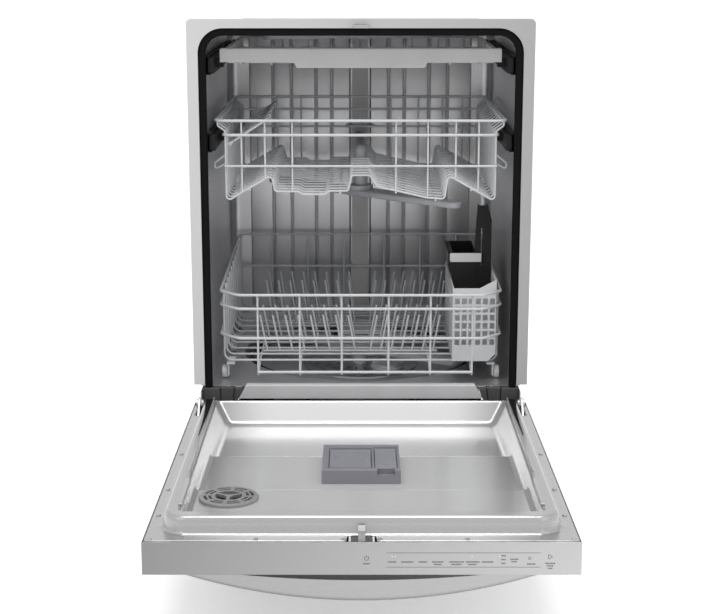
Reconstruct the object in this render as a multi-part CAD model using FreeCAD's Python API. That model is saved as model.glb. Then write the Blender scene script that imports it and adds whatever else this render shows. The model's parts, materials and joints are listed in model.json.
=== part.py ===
import FreeCAD, Part
import math
import os

from FreeCAD import Vector

# All sizes are in millimetres: X to the right, Y to the back, Z up from the floor.
# Pieces are drawn with Y = 0 on the face of the front frame, and Y_SHIFT centres the whole at the end.

# Cabinet frame and tub
CABINET_HEIGHT = 860.0
CABINET_BACK_Y = 556.0
FRAME_WIDTH = 597.0
FRAME_BOTTOM_Z = 214.0
FRAME_DEPTH = 18.0
FRAME_CORNER_R = 8.0
FRAME_SIDE_BAND = 19.0
FRAME_TOP_BAND = 15.5
OPENING_CORNER_R = 43.0
COUNTER_HOLE_SPACING = 400.0
COUNTER_HOLE_R = 2.6
SHEET = 1.5
TUB_SIDE_STEP = 9.5
TUB_DEPTH = 540.0
TUB_TOP_STEP = 6.5
TUB_FLOOR_Z = 208.5
TUB_CORNER_R = 40.0
TUB_BACK_R = 20.0
BACK_RIB_OFFSETS = (58.0, 92.0, 142.0, 180.0)
BACK_RIB_WIDTH = 10.0
BACK_RIB_DEPTH = 4.5
MAT_THICK = 2.5
GASKET_FRONT_Y = 2.5
GASKET_BACK_Y = 14.0
GASKET_BAND = 13.0
GASKET_ROUND = 4.0
SILL_TOP_WIDTH = 410.0
SILL_BOTTOM_WIDTH = 438.0
SILL_TOP_Z = 213.3
SILL_BOTTOM_Z = 188.0
STRIKE_WIDTH = 28.0
STRIKE_REACH = 24.0
STRIKE_DROP = 11.5
STRIKE_THICK = 6.0

# Basin, sump and what lies in the base
SPRAY_Y = 270.0
BASIN_SIDE_GAP = 44.0
BASIN_Z = 182.0
BASIN_ROUND = 8.0
SUMP_R = 98.0
SUMP_HOLE_R = 92.0
SUMP_WALL = 2.5
SUMP_BOTTOM_Z = 105.0
FILTER_R = 112.0
FILTER_THICK = 2.0
FILTER_CUP_R = 28.0
FILTER_CUP_X = 52.0
FILTER_CUP_Y = -34.0
HEATER_WALL_GAP = 14.0
HEATER_TUBE_R = 4.0
HEATER_Z = 200.0
HEATER_GAP_DEG = 14.0
HEATER_CLIP_DEGS = (20.0, 160.0, 232.0, 308.0)
PUMP_Z = 112.0
PUMP_VOLUTE_R = 42.0
PUMP_MOTOR_R = 34.0
PUMP_SIDE_GAP = 23.0
DRAIN_PUMP_R = 26.0
DRAIN_SPIGOT_X = -120.0
DRAIN_SPIGOT_Z = 128.0
DRAIN_SPIGOT_R = 10.0
DRAIN_SPIGOT_LENGTH = 30.0
INLET_SIDE_GAP = 48.0
INLET_Z = 76.0
INLET_SPIGOT_R = 13.2
INLET_SPIGOT_LENGTH = 14.0
JUNCTION_SIDE_GAP = 48.0
JUNCTION_Z = 84.0
JUNCTION_BORE_R = 11.1
JUNCTION_BACK_Y = 530.0

# Base frame, feet and toe kick
SIDE_FRAME_INSET = 14.5
SIDE_FRAME_FRONT_Y = 58.0
SIDE_FRAME_BACK_Y = 545.0
SIDE_FRAME_TOP_Z = 232.0
SIDE_FRAME_BOTTOM_Z = 22.0
SIDE_FRAME_LEDGE = 24.0
PAN_SIDE_GAP = 31.0
PAN_TOP_Z = 60.0
PAN_WALL = 2.5
TOE_KICK_TOP_Z = 112.0
TOE_KICK_BOTTOM_Z = 12.0
TOE_KICK_THICK = 2.0
FOOT_INSET = 12.0
FOOT_FRONT_Y = 80.0
FOOT_BACK_Y = 512.0
FOOT_PAD_R = 14.0
FOOT_PAD_HEIGHT = 9.0
FOOT_STEM_R = 5.0
FOOT_STEM_TOP_Z = 66.0

# Door, drawn shut and then swung open about the hinge pins
DOOR_SIDE_OVER = 4.5
DOOR_TOP_GAP = 3.0
DOOR_BOTTOM_Z = 118.0
DOOR_THICK = 47.0
DOOR_FLANGE_Y = -25.5
DOOR_SHEET = 0.8
DOOR_OPEN_DEG = 88.7
HINGE_Y = -11.0
HINGE_Z = 182.0
HINGE_PIN_R = 5.0
HINGE_PIN_HEAD_R = 8.0
HINGE_ARM_THICK = 3.0
HINGE_ARM_TOP_Z = 340.0
RUNNING_GAP = 0.05
NEAR_GAP = 0.2
PANEL_THICK = 4.0
RIM_SIDE_STEP = 23.0
RIM_BOTTOM_Z = 192.0
RIM_TOP_STEP = 34.0
RIM_HEIGHT = 25.0
RIM_CORNER_R = 34.0
RIM_EDGE_R = 8.0
RIM_BAR = 27.0
BASIN_PAN_SIDE = 30.0
BASIN_PAN_BOTTOM_Z = 200.0
BASIN_PAN_SLOPE = 26.0
STEP_ONE_Z = 455.0
STEP_TWO_DROP = 173.0
STEP_SLOPE = 6.0
FLOOR_ONE = -12.0
FLOOR_TWO = 2.0
FLOOR_THREE = 10.0
FIN_INSET = 22.5
FIN_THICK = 2.0
FIN_TOP_DROP = 175.0
FIN_HEIGHT = 11.0
GUIDE_TOP_DROP = 48.0
GUIDE_HEIGHT = 3.5
HANDLE_SPAN = 574.0
HANDLE_REACH = 52.0
HANDLE_END = 27.0
HANDLE_GAP = 19.0
HANDLE_DROP = 43.0
HANDLE_TALL = 28.0
HANDLE_ROUND = 9.0
DISPENSER_WIDTH = 121.0
DISPENSER_STEP_GAP = 17.0
DISPENSER_TALL = 134.0
DISPENSER_HEIGHT = 23.0
DISPENSER_LIP = 5.0
DISPENSER_DEPTH = 18.0
DETERGENT_LID_LEFT_X = -50.0
DETERGENT_LID_WIDTH = 66.0
DETERGENT_LID_LIFT = 28.0
DETERGENT_LID_TALL = 98.0
RINSE_CAP_LEFT_X = 20.5
RINSE_CAP_WIDTH = 35.0
RINSE_CAP_LIFT = 23.0
RINSE_CAP_TALL = 100.0
CAP_NOTCH_DEPTH = 10.0
CAP_NOTCH_INSET = 4.0
LID_THICK = 3.0
LID_PIN_R = 1.5
LID_KNUCKLE = 1.2
VENT_SIDE_GAP = 55.0
VENT_DROP = 124.0
VENT_R = 44.0
VENT_THICK = 5.0
VENT_EYE_R = 20.0
VENT_HUB_R = 6.0
VENT_SPOKE = 5.0
VENT_SLOT_RADII = (26.0, 33.0)
VENT_SLOT_WIDTH = 4.0
VENT_SLOT_COUNT = 8
VENT_SLOT_DEG = 33.0
LATCH_SLOT_WIDTH = 40.0
LATCH_OPEN_DEG = 14.0
LATCH_PIVOT_Y = -45.0
LATCH_PIVOT_DROP = 21.0
LATCH_PIN_R = 2.5
DOOR_SCREW_INSET = 10.0
DOOR_SCREW_SIDE_DROPS = (412.0, 230.0, 112.0)
DOOR_SCREW_TOP_DROP = 11.0
DOOR_SCREW_TOP_XS = (25.0, 146.0)
DOOR_SCREW_R = 3.5
DOOR_SCREW_TALL = 1.6

# Lower rack
LOWER_SIDE_GAP = 18.0
LOWER_FRONT_Y = 10.0
LOWER_BACK_GAP = 25.0
LOWER_CORNER_CUT = 35.0
LOWER_RIM_ZS = (376.0, 351.0, 297.0)
LOWER_TOP_LIFT = 19.0
LOWER_LOW_LIFT = 30.0
LOWER_HANDLE_LONG = 90.0
LOWER_FRONT_DROP = 15.0
LOWER_FRONT_RAMP = 42.0
LOWER_BAR_LIFT = 9.0
LOWER_FLOOR_Z = 244.0
LOWER_CROSS_FIRST_Y = 60.0
LOWER_CROSS_PITCH = 44.0
LOWER_CROSS_COUNT = 11
LOWER_LONG_LEFT_INSETS = (68.0, 143.0)
LOWER_LONG_MIDDLE_XS = (-34.0, 50.0)
LOWER_LONG_RIGHT_INSETS = (127.0, 52.0)
RIM_WIRE = 5.0
RACK_WIRE = 4.0
WELD_SINK = 0.4
TINE_ROWS_FRONT = (126.0, 214.0)
TINE_ROWS_BACK = (346.0, 434.0)
TINE_WIRE = 4.0
TINE_TALL_FRONT = 68.0
TINE_TALL_BACK = 87.0
TINE_LEAN = 13.0
TINE_LEFT_PITCH = 23.4
TINE_LEFT_ROOM = 60.0
TINE_RIGHT_PITCH = 19.5
TINE_CUTLERY_ROOM = 25.0
TINE_RIGHT_ROOM = 70.0
TINE_MIDDLE_STEP = 8.0
TINE_NEAREST_X = 10.0
WHEEL_R = 12.0
WHEEL_THICK = 9.0
WHEEL_SIDE_GAP = 21.0
WHEEL_FLOOR_GAP = 0.3
WHEEL_FRONT_Y = 70.0
WHEEL_BACK_GAP = 90.0
AXLE_R = 3.0
CUTLERY_WIDTH = 78.5
CUTLERY_SIDE_GAP = 7.5
CUTLERY_FRONT_Y = 43.0
CUTLERY_BACK_Y = 292.0
CUTLERY_TOP_LEFT_Z = 381.0
CUTLERY_TOP_RIGHT_Z = 397.0
CUTLERY_WALL = 2.5
CUTLERY_FOOT_CUT = 14.0
CUTLERY_HOLE = 9.0
CUTLERY_HOLE_PITCH = 12.6
CUTLERY_BAND = 30.0
CUTLERY_GRIP_Y = 190.0
CUTLERY_GRIP_TOP_Z = 520.0
CUTLERY_GRIP_THICK = 16.0
CUTLERY_HOPPER_TOP_Z = 430.0
CUTLERY_HOPPER_LONG = 120.0
CUTLERY_PARTITION_Y = 122.0
CUTLERY_PARTITION_DROP = 22.0

# Upper rack
UPPER_SIDE_GAP = 33.0
UPPER_RIM_GAP = 16.0
UPPER_FRONT_Y = 30.0
UPPER_WIRE_PITCH = 32.0
UPPER_WIRE_COUNT = 15
UPPER_WIRE = 3.5
UPPER_RIM_DROP = 99.0
UPPER_MID_DROP = 25.0
UPPER_LOW_DROP = 79.5
UPPER_POCKET_DROP = 143.0
UPPER_PEAK_DROP = 96.0
UPPER_FLAT_DROP = 125.0
UPPER_POST_LEFT_INSETS = (28.0, 69.0, 117.0)
UPPER_POST_MIDDLE_X = 62.0
UPPER_POST_RIGHT_INSETS = (119.0, 70.0, 30.0)
UPPER_LONG_INSETS = (42.0, 105.0)
UPPER_LONG_MIDDLE_XS = (-36.0, 62.0)
UPPER_HOOK_DROP = 78.0
UPPER_HOOK_REACH = 22.0
UPPER_BRACKET_STEPS = (96.0, 352.0)
RAIL_TALL = 32.0
RAIL_LIP = 10.0
RAIL_FRONT_Y = 18.0
RAIL_BACK_Y = 500.0
SLIDE_GAP = 0.5
SLIDE_SIDE_GAP = 1.2
SLIDE_THICK = 11.0
SLIDE_BACK_Y = 470.0
UPPER_RAIL_DROP = 38.0
CUP_SHELF_DROP = 44.0
CUP_SHELF_WIDTH = 80.0
CUP_SHELF_FRONT_Y = 62.0
CUP_SHELF_BACK_Y = 396.0
CUP_SHELF_THICK = 3.0
CUP_SHELF_BARREL_R = 3.5
CUP_SHELF_DEG = 33.0
FEED_TUBE_R = 11.0
FEED_DROP_R = 12.0

# Spray arms and their supply
ARM_JOURNAL_R = 10.0
ARM_THICK = 11.0
LOWER_ARM_GAP = 4.0
LOWER_ARM_Z = 209.0
LOWER_ARM_DEG = -35.0
MIDDLE_ARM_GAP = 25.0
MIDDLE_ARM_DROP = 167.0
MIDDLE_ARM_DEG = -43.0
TOP_ARM_GAP = 80.0
TOP_ARM_DROP = 24.0
TOP_ARM_DEG = 20.0
ARM_ROOT_WIDTH = 50.0
ARM_TIP_WIDTH = 30.0
DUCT_WIDTH = 33.0
DUCT_DEPTH = 18.0
DUCT_ROOF = 11.0

# Third rack
THIRD_SIDE_GAP = 30.0
THIRD_FRONT_Y = 30.0
THIRD_BACK_Y = 480.0
THIRD_FLOOR_DROP = 55.0
THIRD_RIM_DROP = 35.0
THIRD_WIRE = 3.5
THIRD_CROSS_COUNT = 13
THIRD_CROSS_PITCH = 34.0
THIRD_LONG_ROOM = 20.0
THIRD_LONG_PITCH = 52.0
THIRD_PANEL_GAP = 26.0
THIRD_PANEL_TOP_DROP = 29.0
THIRD_PANEL_TALL = 24.0
THIRD_PANEL_THICK = 12.0
THIRD_GRIP_WIDTH = 232.0
THIRD_GRIP_TALL = 34.0
THIRD_RAIL_DROP = 58.0
THIRD_BRACKET_STEPS = (60.0, 330.0)

# Places that follow from the sizes above
FRAME_HALF = FRAME_WIDTH / 2
OPENING_HALF = FRAME_HALF - FRAME_SIDE_BAND
OPENING_TOP_Z = CABINET_HEIGHT - FRAME_TOP_BAND
TUB_HALF = OPENING_HALF - TUB_SIDE_STEP
TUB_CEILING_Z = OPENING_TOP_Z - TUB_TOP_STEP
STRIKE_Z = CABINET_HEIGHT - STRIKE_DROP
BASIN_R = TUB_HALF - BASIN_SIDE_GAP
HEATER_RING_R = BASIN_R - HEATER_WALL_GAP
SIDE_FRAME_X = FRAME_HALF - SIDE_FRAME_INSET
PAN_HALF = SIDE_FRAME_X - PAN_SIDE_GAP
INLET_X = INLET_SIDE_GAP - PAN_HALF
JUNCTION_X = PAN_HALF - JUNCTION_SIDE_GAP
FOOT_X = SIDE_FRAME_X - FOOT_INSET
DOOR_HALF = FRAME_HALF + DOOR_SIDE_OVER
DOOR_TOP_Z = CABINET_HEIGHT - DOOR_TOP_GAP
RIM_HALF = DOOR_HALF - RIM_SIDE_STEP
RIM_TOP_Z = DOOR_TOP_Z - RIM_TOP_STEP
BASIN_PAN_HALF = RIM_HALF - BASIN_PAN_SIDE
STEP_TWO_Z = RIM_TOP_Z - STEP_TWO_DROP
FIN_X = RIM_HALF - FIN_INSET
FIN_TOP_Z = RIM_TOP_Z - FIN_TOP_DROP
GUIDE_TOP_Z = RIM_TOP_Z - GUIDE_TOP_DROP
HANDLE_INNER_SPAN = HANDLE_SPAN - 2 * HANDLE_END
HANDLE_Z = DOOR_TOP_Z - HANDLE_DROP
DISPENSER_BOTTOM_Z = STEP_ONE_Z + DISPENSER_STEP_GAP
DISPENSER_TOP_Z = DISPENSER_BOTTOM_Z + DISPENSER_TALL
DETERGENT_LID_LOW_Z = DISPENSER_BOTTOM_Z + DETERGENT_LID_LIFT
RINSE_CAP_LOW_Z = DISPENSER_BOTTOM_Z + RINSE_CAP_LIFT
VENT_X = VENT_SIDE_GAP - BASIN_PAN_HALF
VENT_Z = RIM_TOP_Z - VENT_DROP
LATCH_PIVOT_Z = DOOR_TOP_Z - LATCH_PIVOT_DROP
DOOR_SCREW_X = DOOR_HALF - DOOR_SCREW_INSET
DOOR_SCREW_TOP_Z = DOOR_TOP_Z - DOOR_SCREW_TOP_DROP
DOOR_SCREW_ZS = tuple(DOOR_TOP_Z - drop for drop in DOOR_SCREW_SIDE_DROPS)
LOWER_HALF_WIDTH = TUB_HALF - LOWER_SIDE_GAP
WHEEL_X = TUB_HALF - WHEEL_SIDE_GAP
CUTLERY_RIGHT_X = LOWER_HALF_WIDTH - CUTLERY_SIDE_GAP
CUTLERY_LEFT_X = CUTLERY_RIGHT_X - CUTLERY_WIDTH
THIRD_HALF_WIDTH = TUB_HALF - THIRD_SIDE_GAP
THIRD_PANEL_WIDTH = 2 * (TUB_HALF - THIRD_PANEL_GAP)
THIRD_FLOOR_Z = TUB_CEILING_Z - THIRD_FLOOR_DROP
THIRD_RIM_Z = TUB_CEILING_Z - THIRD_RIM_DROP
THIRD_PANEL_TOP_Z = TUB_CEILING_Z - THIRD_PANEL_TOP_DROP
THIRD_PANEL_BOTTOM_Z = THIRD_PANEL_TOP_Z - THIRD_PANEL_TALL
THIRD_GRIP_BOTTOM_Z = THIRD_PANEL_TOP_Z - THIRD_GRIP_TALL
THIRD_RAIL_Z = TUB_CEILING_Z - THIRD_RAIL_DROP
UPPER_HALF_WIDTH = TUB_HALF - UPPER_SIDE_GAP
UPPER_RIM_HALF = TUB_HALF - UPPER_RIM_GAP
UPPER_RIM_Z = THIRD_FLOOR_Z - UPPER_RIM_DROP
UPPER_MID_Z = UPPER_RIM_Z - UPPER_MID_DROP
UPPER_LOW_Z = UPPER_RIM_Z - UPPER_LOW_DROP
UPPER_POCKET_Z = UPPER_RIM_Z - UPPER_POCKET_DROP
UPPER_PEAK_Z = UPPER_RIM_Z - UPPER_PEAK_DROP
UPPER_FLAT_Z = UPPER_RIM_Z - UPPER_FLAT_DROP
UPPER_HOOK_Z = UPPER_RIM_Z - UPPER_HOOK_DROP
UPPER_RAIL_Z = UPPER_RIM_Z - UPPER_RAIL_DROP
CUP_SHELF_HINGE_Z = UPPER_RIM_Z - CUP_SHELF_DROP
LOWER_ARM_R = BASIN_R - LOWER_ARM_GAP
MIDDLE_ARM_R = TUB_HALF - MIDDLE_ARM_GAP
MIDDLE_ARM_Z = UPPER_RIM_Z - MIDDLE_ARM_DROP
TOP_ARM_R = TUB_HALF - TOP_ARM_GAP
TOP_ARM_Z = TUB_CEILING_Z - TOP_ARM_DROP
DOOR_FACE_Y = DOOR_FLANGE_Y - DOOR_THICK
BACK_PAN_Y = TUB_DEPTH - TUB_BACK_R - 6.0
WHEEL_Z = TUB_FLOOR_Z + WHEEL_FLOOR_GAP + WHEEL_R
DOCK_Z = UPPER_PEAK_Z + UPPER_WIRE / 2 + FEED_TUBE_R
DUCT_FRONT_Y = TUB_DEPTH - DUCT_DEPTH
LOWER_BACK_Y = TUB_DEPTH - LOWER_BACK_GAP
WHEEL_BACK_Y = TUB_DEPTH - WHEEL_BACK_GAP
WHEEL_YS = (WHEEL_FRONT_Y, (WHEEL_FRONT_Y + WHEEL_BACK_Y) / 2, WHEEL_BACK_Y)
LOWER_LONG_Z = LOWER_FLOOR_Z - RACK_WIRE + WELD_SINK
PAN_FLOOR_Z = SIDE_FRAME_BOTTOM_Z + SHEET + PAN_WALL
DISPENSER_FOOT_Y = DOOR_FLANGE_Y + FLOOR_TWO
DISPENSER_FACE_Y = DISPENSER_FOOT_Y + DISPENSER_HEIGHT
RIM_FACE_Y = DOOR_FLANGE_Y + RIM_HEIGHT
DISPENSER_LIDS = (
    (DETERGENT_LID_LEFT_X, DETERGENT_LID_WIDTH, DETERGENT_LID_LOW_Z, DETERGENT_LID_TALL),
    (RINSE_CAP_LEFT_X, RINSE_CAP_WIDTH, RINSE_CAP_LOW_Z, RINSE_CAP_TALL),
)
SLIDE_OUT_X = OPENING_HALF - GASKET_BAND - SLIDE_SIDE_GAP
CUP_SHELF_HINGE_X = -(UPPER_HALF_WIDTH - UPPER_WIRE / 2 - CUP_SHELF_BARREL_R - NEAR_GAP)
OPEN_ANGLE = math.radians(DOOR_OPEN_DEG)
FRONT_MOST_Y = (
    HINGE_Y
    + (DOOR_FACE_Y - HINGE_Y) * math.cos(OPEN_ANGLE)
    - (DOOR_TOP_Z - HINGE_Z) * math.sin(OPEN_ANGLE)
)
Y_SHIFT = -(FRONT_MOST_Y + CABINET_BACK_Y) / 2

X_AXIS = Vector(1, 0, 0)
Y_AXIS = Vector(0, 1, 0)
Z_AXIS = Vector(0, 0, 1)


def box(x0, x1, y0, y1, z0, z1):
    return Part.makeBox(x1 - x0, y1 - y0, z1 - z0, Vector(x0, y0, z0))


def cylinder(start, direction, radius, length):
    return Part.makeCylinder(radius, length, Vector(*start), direction)


def prism(points, axis, low, high):
    """A straight block with a polygon for its end: points are (Y, Z), (X, Z) or (X, Y)."""
    place = {
        "x": lambda a, b: Vector(low, a, b),
        "y": lambda a, b: Vector(a, low, b),
        "z": lambda a, b: Vector(a, b, low),
    }[axis]
    run = {"x": X_AXIS, "y": Y_AXIS, "z": Z_AXIS}[axis] * (high - low)
    corners = [place(a, b) for a, b in points]
    return Part.Face(Part.makePolygon(corners + corners[:1])).extrude(run)


def arch(half, top, radius, bottom, y0, y1):
    """A block run along Y with a flat foot and two rounded upper corners."""
    inset = radius * (1 - math.cos(math.pi / 4))

    def at(x, z):
        return Vector(x, y0, z)

    edges = [
        Part.LineSegment(at(-half, bottom), at(-half, top - radius)).toShape(),
        Part.Arc(
            at(-half, top - radius), at(-half + inset, top - inset), at(-half + radius, top)
        ).toShape(),
        Part.LineSegment(at(-half + radius, top), at(half - radius, top)).toShape(),
        Part.Arc(
            at(half - radius, top), at(half - inset, top - inset), at(half, top - radius)
        ).toShape(),
        Part.LineSegment(at(half, top - radius), at(half, bottom)).toShape(),
        Part.LineSegment(at(half, bottom), at(-half, bottom)).toShape(),
    ]
    return Part.Face(Part.Wire(edges)).extrude(Vector(0, y1 - y0, 0))


def rod(points, diameter, bend=0.0, closed=False):
    """A round wire along a line of points, with a bend of the given radius at each corner."""
    points = [Vector(*p) for p in points]
    count = len(points)
    bends = {}
    for i in range(count) if closed else range(1, count - 1):
        back = points[i - 1] - points[i]
        ahead = points[(i + 1) % count] - points[i]
        room = 0.49 * min(back.Length, ahead.Length)
        back.normalize()
        ahead.normalize()
        half_angle = math.acos(max(-1.0, min(1.0, back.dot(ahead)))) / 2
        reach = min(bend / math.tan(half_angle), room)
        radius = reach * math.tan(half_angle)
        inward = back + ahead
        inward.normalize()
        middle = points[i] + inward * (radius / math.sin(half_angle) - radius)
        bends[i] = (points[i] + back * reach, middle, points[i] + ahead * reach)
    here = bends[0][2] if closed else points[0]
    edges = []
    for i in list(range(1, count)) + ([0] if closed else []):
        if i in bends:
            edges.append(Part.LineSegment(here, bends[i][0]).toShape())
            edges.append(Part.Arc(*bends[i]).toShape())
            here = bends[i][2]
        else:
            edges.append(Part.LineSegment(here, points[i]).toShape())
    start = edges[0].Vertexes[0].Point
    along = edges[0].tangentAt(edges[0].FirstParameter)
    ring = Part.Wire([Part.Circle(start, along, diameter / 2).toShape()])
    return Part.Wire(edges).makePipeShell([ring], True, False)


def spaced_xs(half, left_insets, middle_xs, right_insets):
    """Places across a rack: some measured in from its sides, and some from its middle."""
    return [inset - half for inset in left_insets] + [*middle_xs] + [half - inset for inset in right_insets]


def copies_in(room, pitch):
    """How many copies at a pitch fit a room, with one at its start."""
    return 1 + int(room // pitch)


def mirrored(shape):
    return shape.mirror(Vector(0, 0, 0), X_AXIS)


def both_sides(shape):
    return Part.makeCompound([shape, mirrored(shape)])


def joined(first, *others):
    return first.fuse(list(others)).removeSplitter()


def edges_where(shape, test):
    return [e for e in shape.Edges if test(e.BoundBox)]


def swung_open(shape):
    """Turns a piece of the door from its shut place to its open one."""
    shape.rotate(Vector(0, HINGE_Y, HINGE_Z), X_AXIS, DOOR_OPEN_DEG)
    return shape


def tub_arch(grow, y0, y1, bottom=TUB_FLOOR_Z):
    return arch(TUB_HALF + grow, TUB_CEILING_Z + grow, TUB_CORNER_R + grow, bottom, y0, y1)


def opening_arch(grow, y0, y1, bottom):
    top = OPENING_TOP_Z + grow
    return arch(OPENING_HALF + grow, top, OPENING_CORNER_R + grow, bottom, y0, y1)


def tub_wrapper():
    """The side walls and ceiling of the tub in one bent sheet, with a flange behind the gasket."""
    wall = tub_arch(SHEET, GASKET_BACK_Y, BACK_PAN_Y)
    flange = opening_arch(8.0, GASKET_BACK_Y, GASKET_BACK_Y + SHEET, TUB_FLOOR_Z)
    inside = tub_arch(0.0, GASKET_BACK_Y - 1, BACK_PAN_Y + 1, TUB_FLOOR_Z - 1)
    return joined(wall, flange).cut(inside)


def tub_back():
    """The ribbed back of the tub, a shallow pan with rounded edges."""
    back = TUB_DEPTH + SHEET

    def on_back(y):
        return lambda b: b.YMin > y - 0.1 and b.ZMax > TUB_FLOOR_Z + 1

    outside = tub_arch(SHEET, BACK_PAN_Y, back)
    outside = outside.makeFillet(TUB_BACK_R + SHEET, edges_where(outside, on_back(back)))
    inside = tub_arch(0.0, BACK_PAN_Y, TUB_DEPTH)
    inside = inside.makeFillet(TUB_BACK_R, edges_where(inside, on_back(TUB_DEPTH)))
    pan = outside
    half = BACK_RIB_WIDTH / 2
    low = TUB_FLOOR_Z + TUB_CORNER_R
    high = TUB_CEILING_Z - TUB_CORNER_R
    for x in [s * o for o in BACK_RIB_OFFSETS for s in (-1, 1)]:
        pan = pan.fuse(box(x - half, x + half, TUB_DEPTH, back + BACK_RIB_DEPTH, low, high))
        groove = box(
            x - half + SHEET, x + half - SHEET, TUB_DEPTH - 1, TUB_DEPTH + BACK_RIB_DEPTH,
            low + SHEET, high - SHEET,
        )
        inside = inside.fuse(groove)
    return pan.cut(inside).removeSplitter()


def tub_floor():
    """The floor sheet with its round basin, the sump hole and the ways for duct and heater."""
    plate = box(-SIDE_FRAME_X, SIDE_FRAME_X, GASKET_BACK_Y, TUB_DEPTH + SHEET,
                TUB_FLOOR_Z - SHEET, TUB_FLOOR_Z)
    centre = (0, SPRAY_Y, BASIN_Z - SHEET)
    bowl = cylinder(centre, Z_AXIS, BASIN_R + SHEET, TUB_FLOOR_Z - BASIN_Z + SHEET)
    hollow = cylinder((0, SPRAY_Y, BASIN_Z), Z_AXIS, BASIN_R, TUB_FLOOR_Z - BASIN_Z + 1)
    low_edge = edges_where(hollow, lambda b: b.ZMax < BASIN_Z + 0.1 and b.XLength > BASIN_R)
    hollow = hollow.makeFillet(BASIN_ROUND, low_edge)
    floor = joined(plate, bowl).cut(hollow)
    floor = floor.cut(cylinder((0, SPRAY_Y, BASIN_Z - 5), Z_AXIS, SUMP_HOLE_R, 10))
    way = DUCT_WIDTH / 2 - 4
    floor = floor.cut(box(-way, way, DUCT_FRONT_Y + 4, TUB_DEPTH - 4, TUB_FLOOR_Z - 5, TUB_FLOOR_Z + 1))
    for x, y in heater_ends():
        floor = floor.cut(cylinder((x, y, BASIN_Z - 5), Z_AXIS, HEATER_TUBE_R + 0.3, 10))
    return floor


def front_frame():
    """The painted frame round the opening: a flat face with returned edges."""
    low = FRAME_BOTTOM_Z

    def outline(shrink, depth, bottom):
        return arch(FRAME_HALF - shrink, CABINET_HEIGHT - shrink, FRAME_CORNER_R - shrink, bottom, 0, depth)

    face = outline(0, SHEET, low)
    edge = outline(0, FRAME_DEPTH, low).cut(outline(SHEET, FRAME_DEPTH, low - 1))
    lip = opening_arch(SHEET, 0, GASKET_BACK_Y, low)
    frame = joined(face, edge, lip).cut(opening_arch(0, -1, FRAME_DEPTH, low - 1))
    for x in (-COUNTER_HOLE_SPACING / 2, COUNTER_HOLE_SPACING / 2):
        start = (x, FRAME_DEPTH - 7, CABINET_HEIGHT - 5)
        frame = frame.cut(cylinder(start, Z_AXIS, COUNTER_HOLE_R, 10))
    return frame


def front_sill():
    """The strip below the opening, with slanting ends."""
    top = SILL_TOP_WIDTH / 2
    bottom = SILL_BOTTOM_WIDTH / 2
    outline = [(-bottom, SILL_BOTTOM_Z), (bottom, SILL_BOTTOM_Z), (top, SILL_TOP_Z), (-top, SILL_TOP_Z)]
    bar = prism(outline, "y", 0, GASKET_BACK_Y)
    front_top = edges_where(bar, lambda b: b.ZMin > SILL_TOP_Z - 0.1 and b.YMax < 0.1)
    return bar.makeFillet(3.0, front_top)


def door_gasket():
    """The rubber seal in the channel round the opening."""
    band = opening_arch(0, GASKET_FRONT_Y, GASKET_BACK_Y, TUB_FLOOR_Z)
    hole = opening_arch(-GASKET_BAND, GASKET_FRONT_Y - 1, GASKET_BACK_Y + 1, TUB_FLOOR_Z - 1)
    seal = band.cut(hole)
    inner = OPENING_HALF - GASKET_BAND

    def front_inner(b):
        return b.YMax < GASKET_FRONT_Y + 0.1 and b.XMax < inner + 0.1 and b.XMin > -inner - 0.1

    return seal.makeFillet(GASKET_ROUND, edges_where(seal, front_inner))


def sound_mats():
    """Heavy damping mats stuck to the sides of the tub."""
    side = TUB_HALF + SHEET
    low = TUB_FLOOR_Z + 40
    high = TUB_CEILING_Z - TUB_CORNER_R - 20
    mat = box(side, side + MAT_THICK, FRAME_DEPTH + 32, BACK_PAN_Y - 20, low, high)
    mat = mat.makeFillet(15.0, edges_where(mat, lambda b: b.YLength < 0.1 and b.ZLength < 0.1))
    return both_sides(mat)


def foot_places():
    return [(s * FOOT_X, y) for y in (FOOT_FRONT_Y, FOOT_BACK_Y) for s in (-1, 1)]


def side_frames():
    """The steel side members of the base, each with an ear for its hinge pin and a ledge for the feet."""
    low_ear = HINGE_Z - 10
    high_ear = FRAME_BOTTOM_Z - 8
    outline = [
        (SIDE_FRAME_FRONT_Y, SIDE_FRAME_BOTTOM_Z),
        (SIDE_FRAME_BACK_Y, SIDE_FRAME_BOTTOM_Z),
        (SIDE_FRAME_BACK_Y, SIDE_FRAME_TOP_Z),
        (FRAME_DEPTH + 2, SIDE_FRAME_TOP_Z),
        (FRAME_DEPTH + 2, high_ear),
        (HINGE_Y - 10, high_ear),
        (HINGE_Y - 14, HINGE_Z),
        (HINGE_Y - 8, low_ear),
        (SIDE_FRAME_FRONT_Y, low_ear),
    ]
    plate = prism(outline, "x", SIDE_FRAME_X, SIDE_FRAME_X + SHEET)
    ledge = box(
        SIDE_FRAME_X - SIDE_FRAME_LEDGE, SIDE_FRAME_X, SIDE_FRAME_FRONT_Y, SIDE_FRAME_BACK_Y,
        SIDE_FRAME_BOTTOM_Z, SIDE_FRAME_BOTTOM_Z + SHEET,
    )
    side = joined(plate, ledge)
    side = side.cut(cylinder((SIDE_FRAME_X - 5, HINGE_Y, HINGE_Z), X_AXIS, HINGE_PIN_R, 20))
    for y in (FOOT_FRONT_Y, FOOT_BACK_Y):
        hole = cylinder((FOOT_X, y, SIDE_FRAME_BOTTOM_Z - 5), Z_AXIS, FOOT_STEM_R + RUNNING_GAP, 20)
        side = side.cut(hole)
    return both_sides(side)


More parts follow.
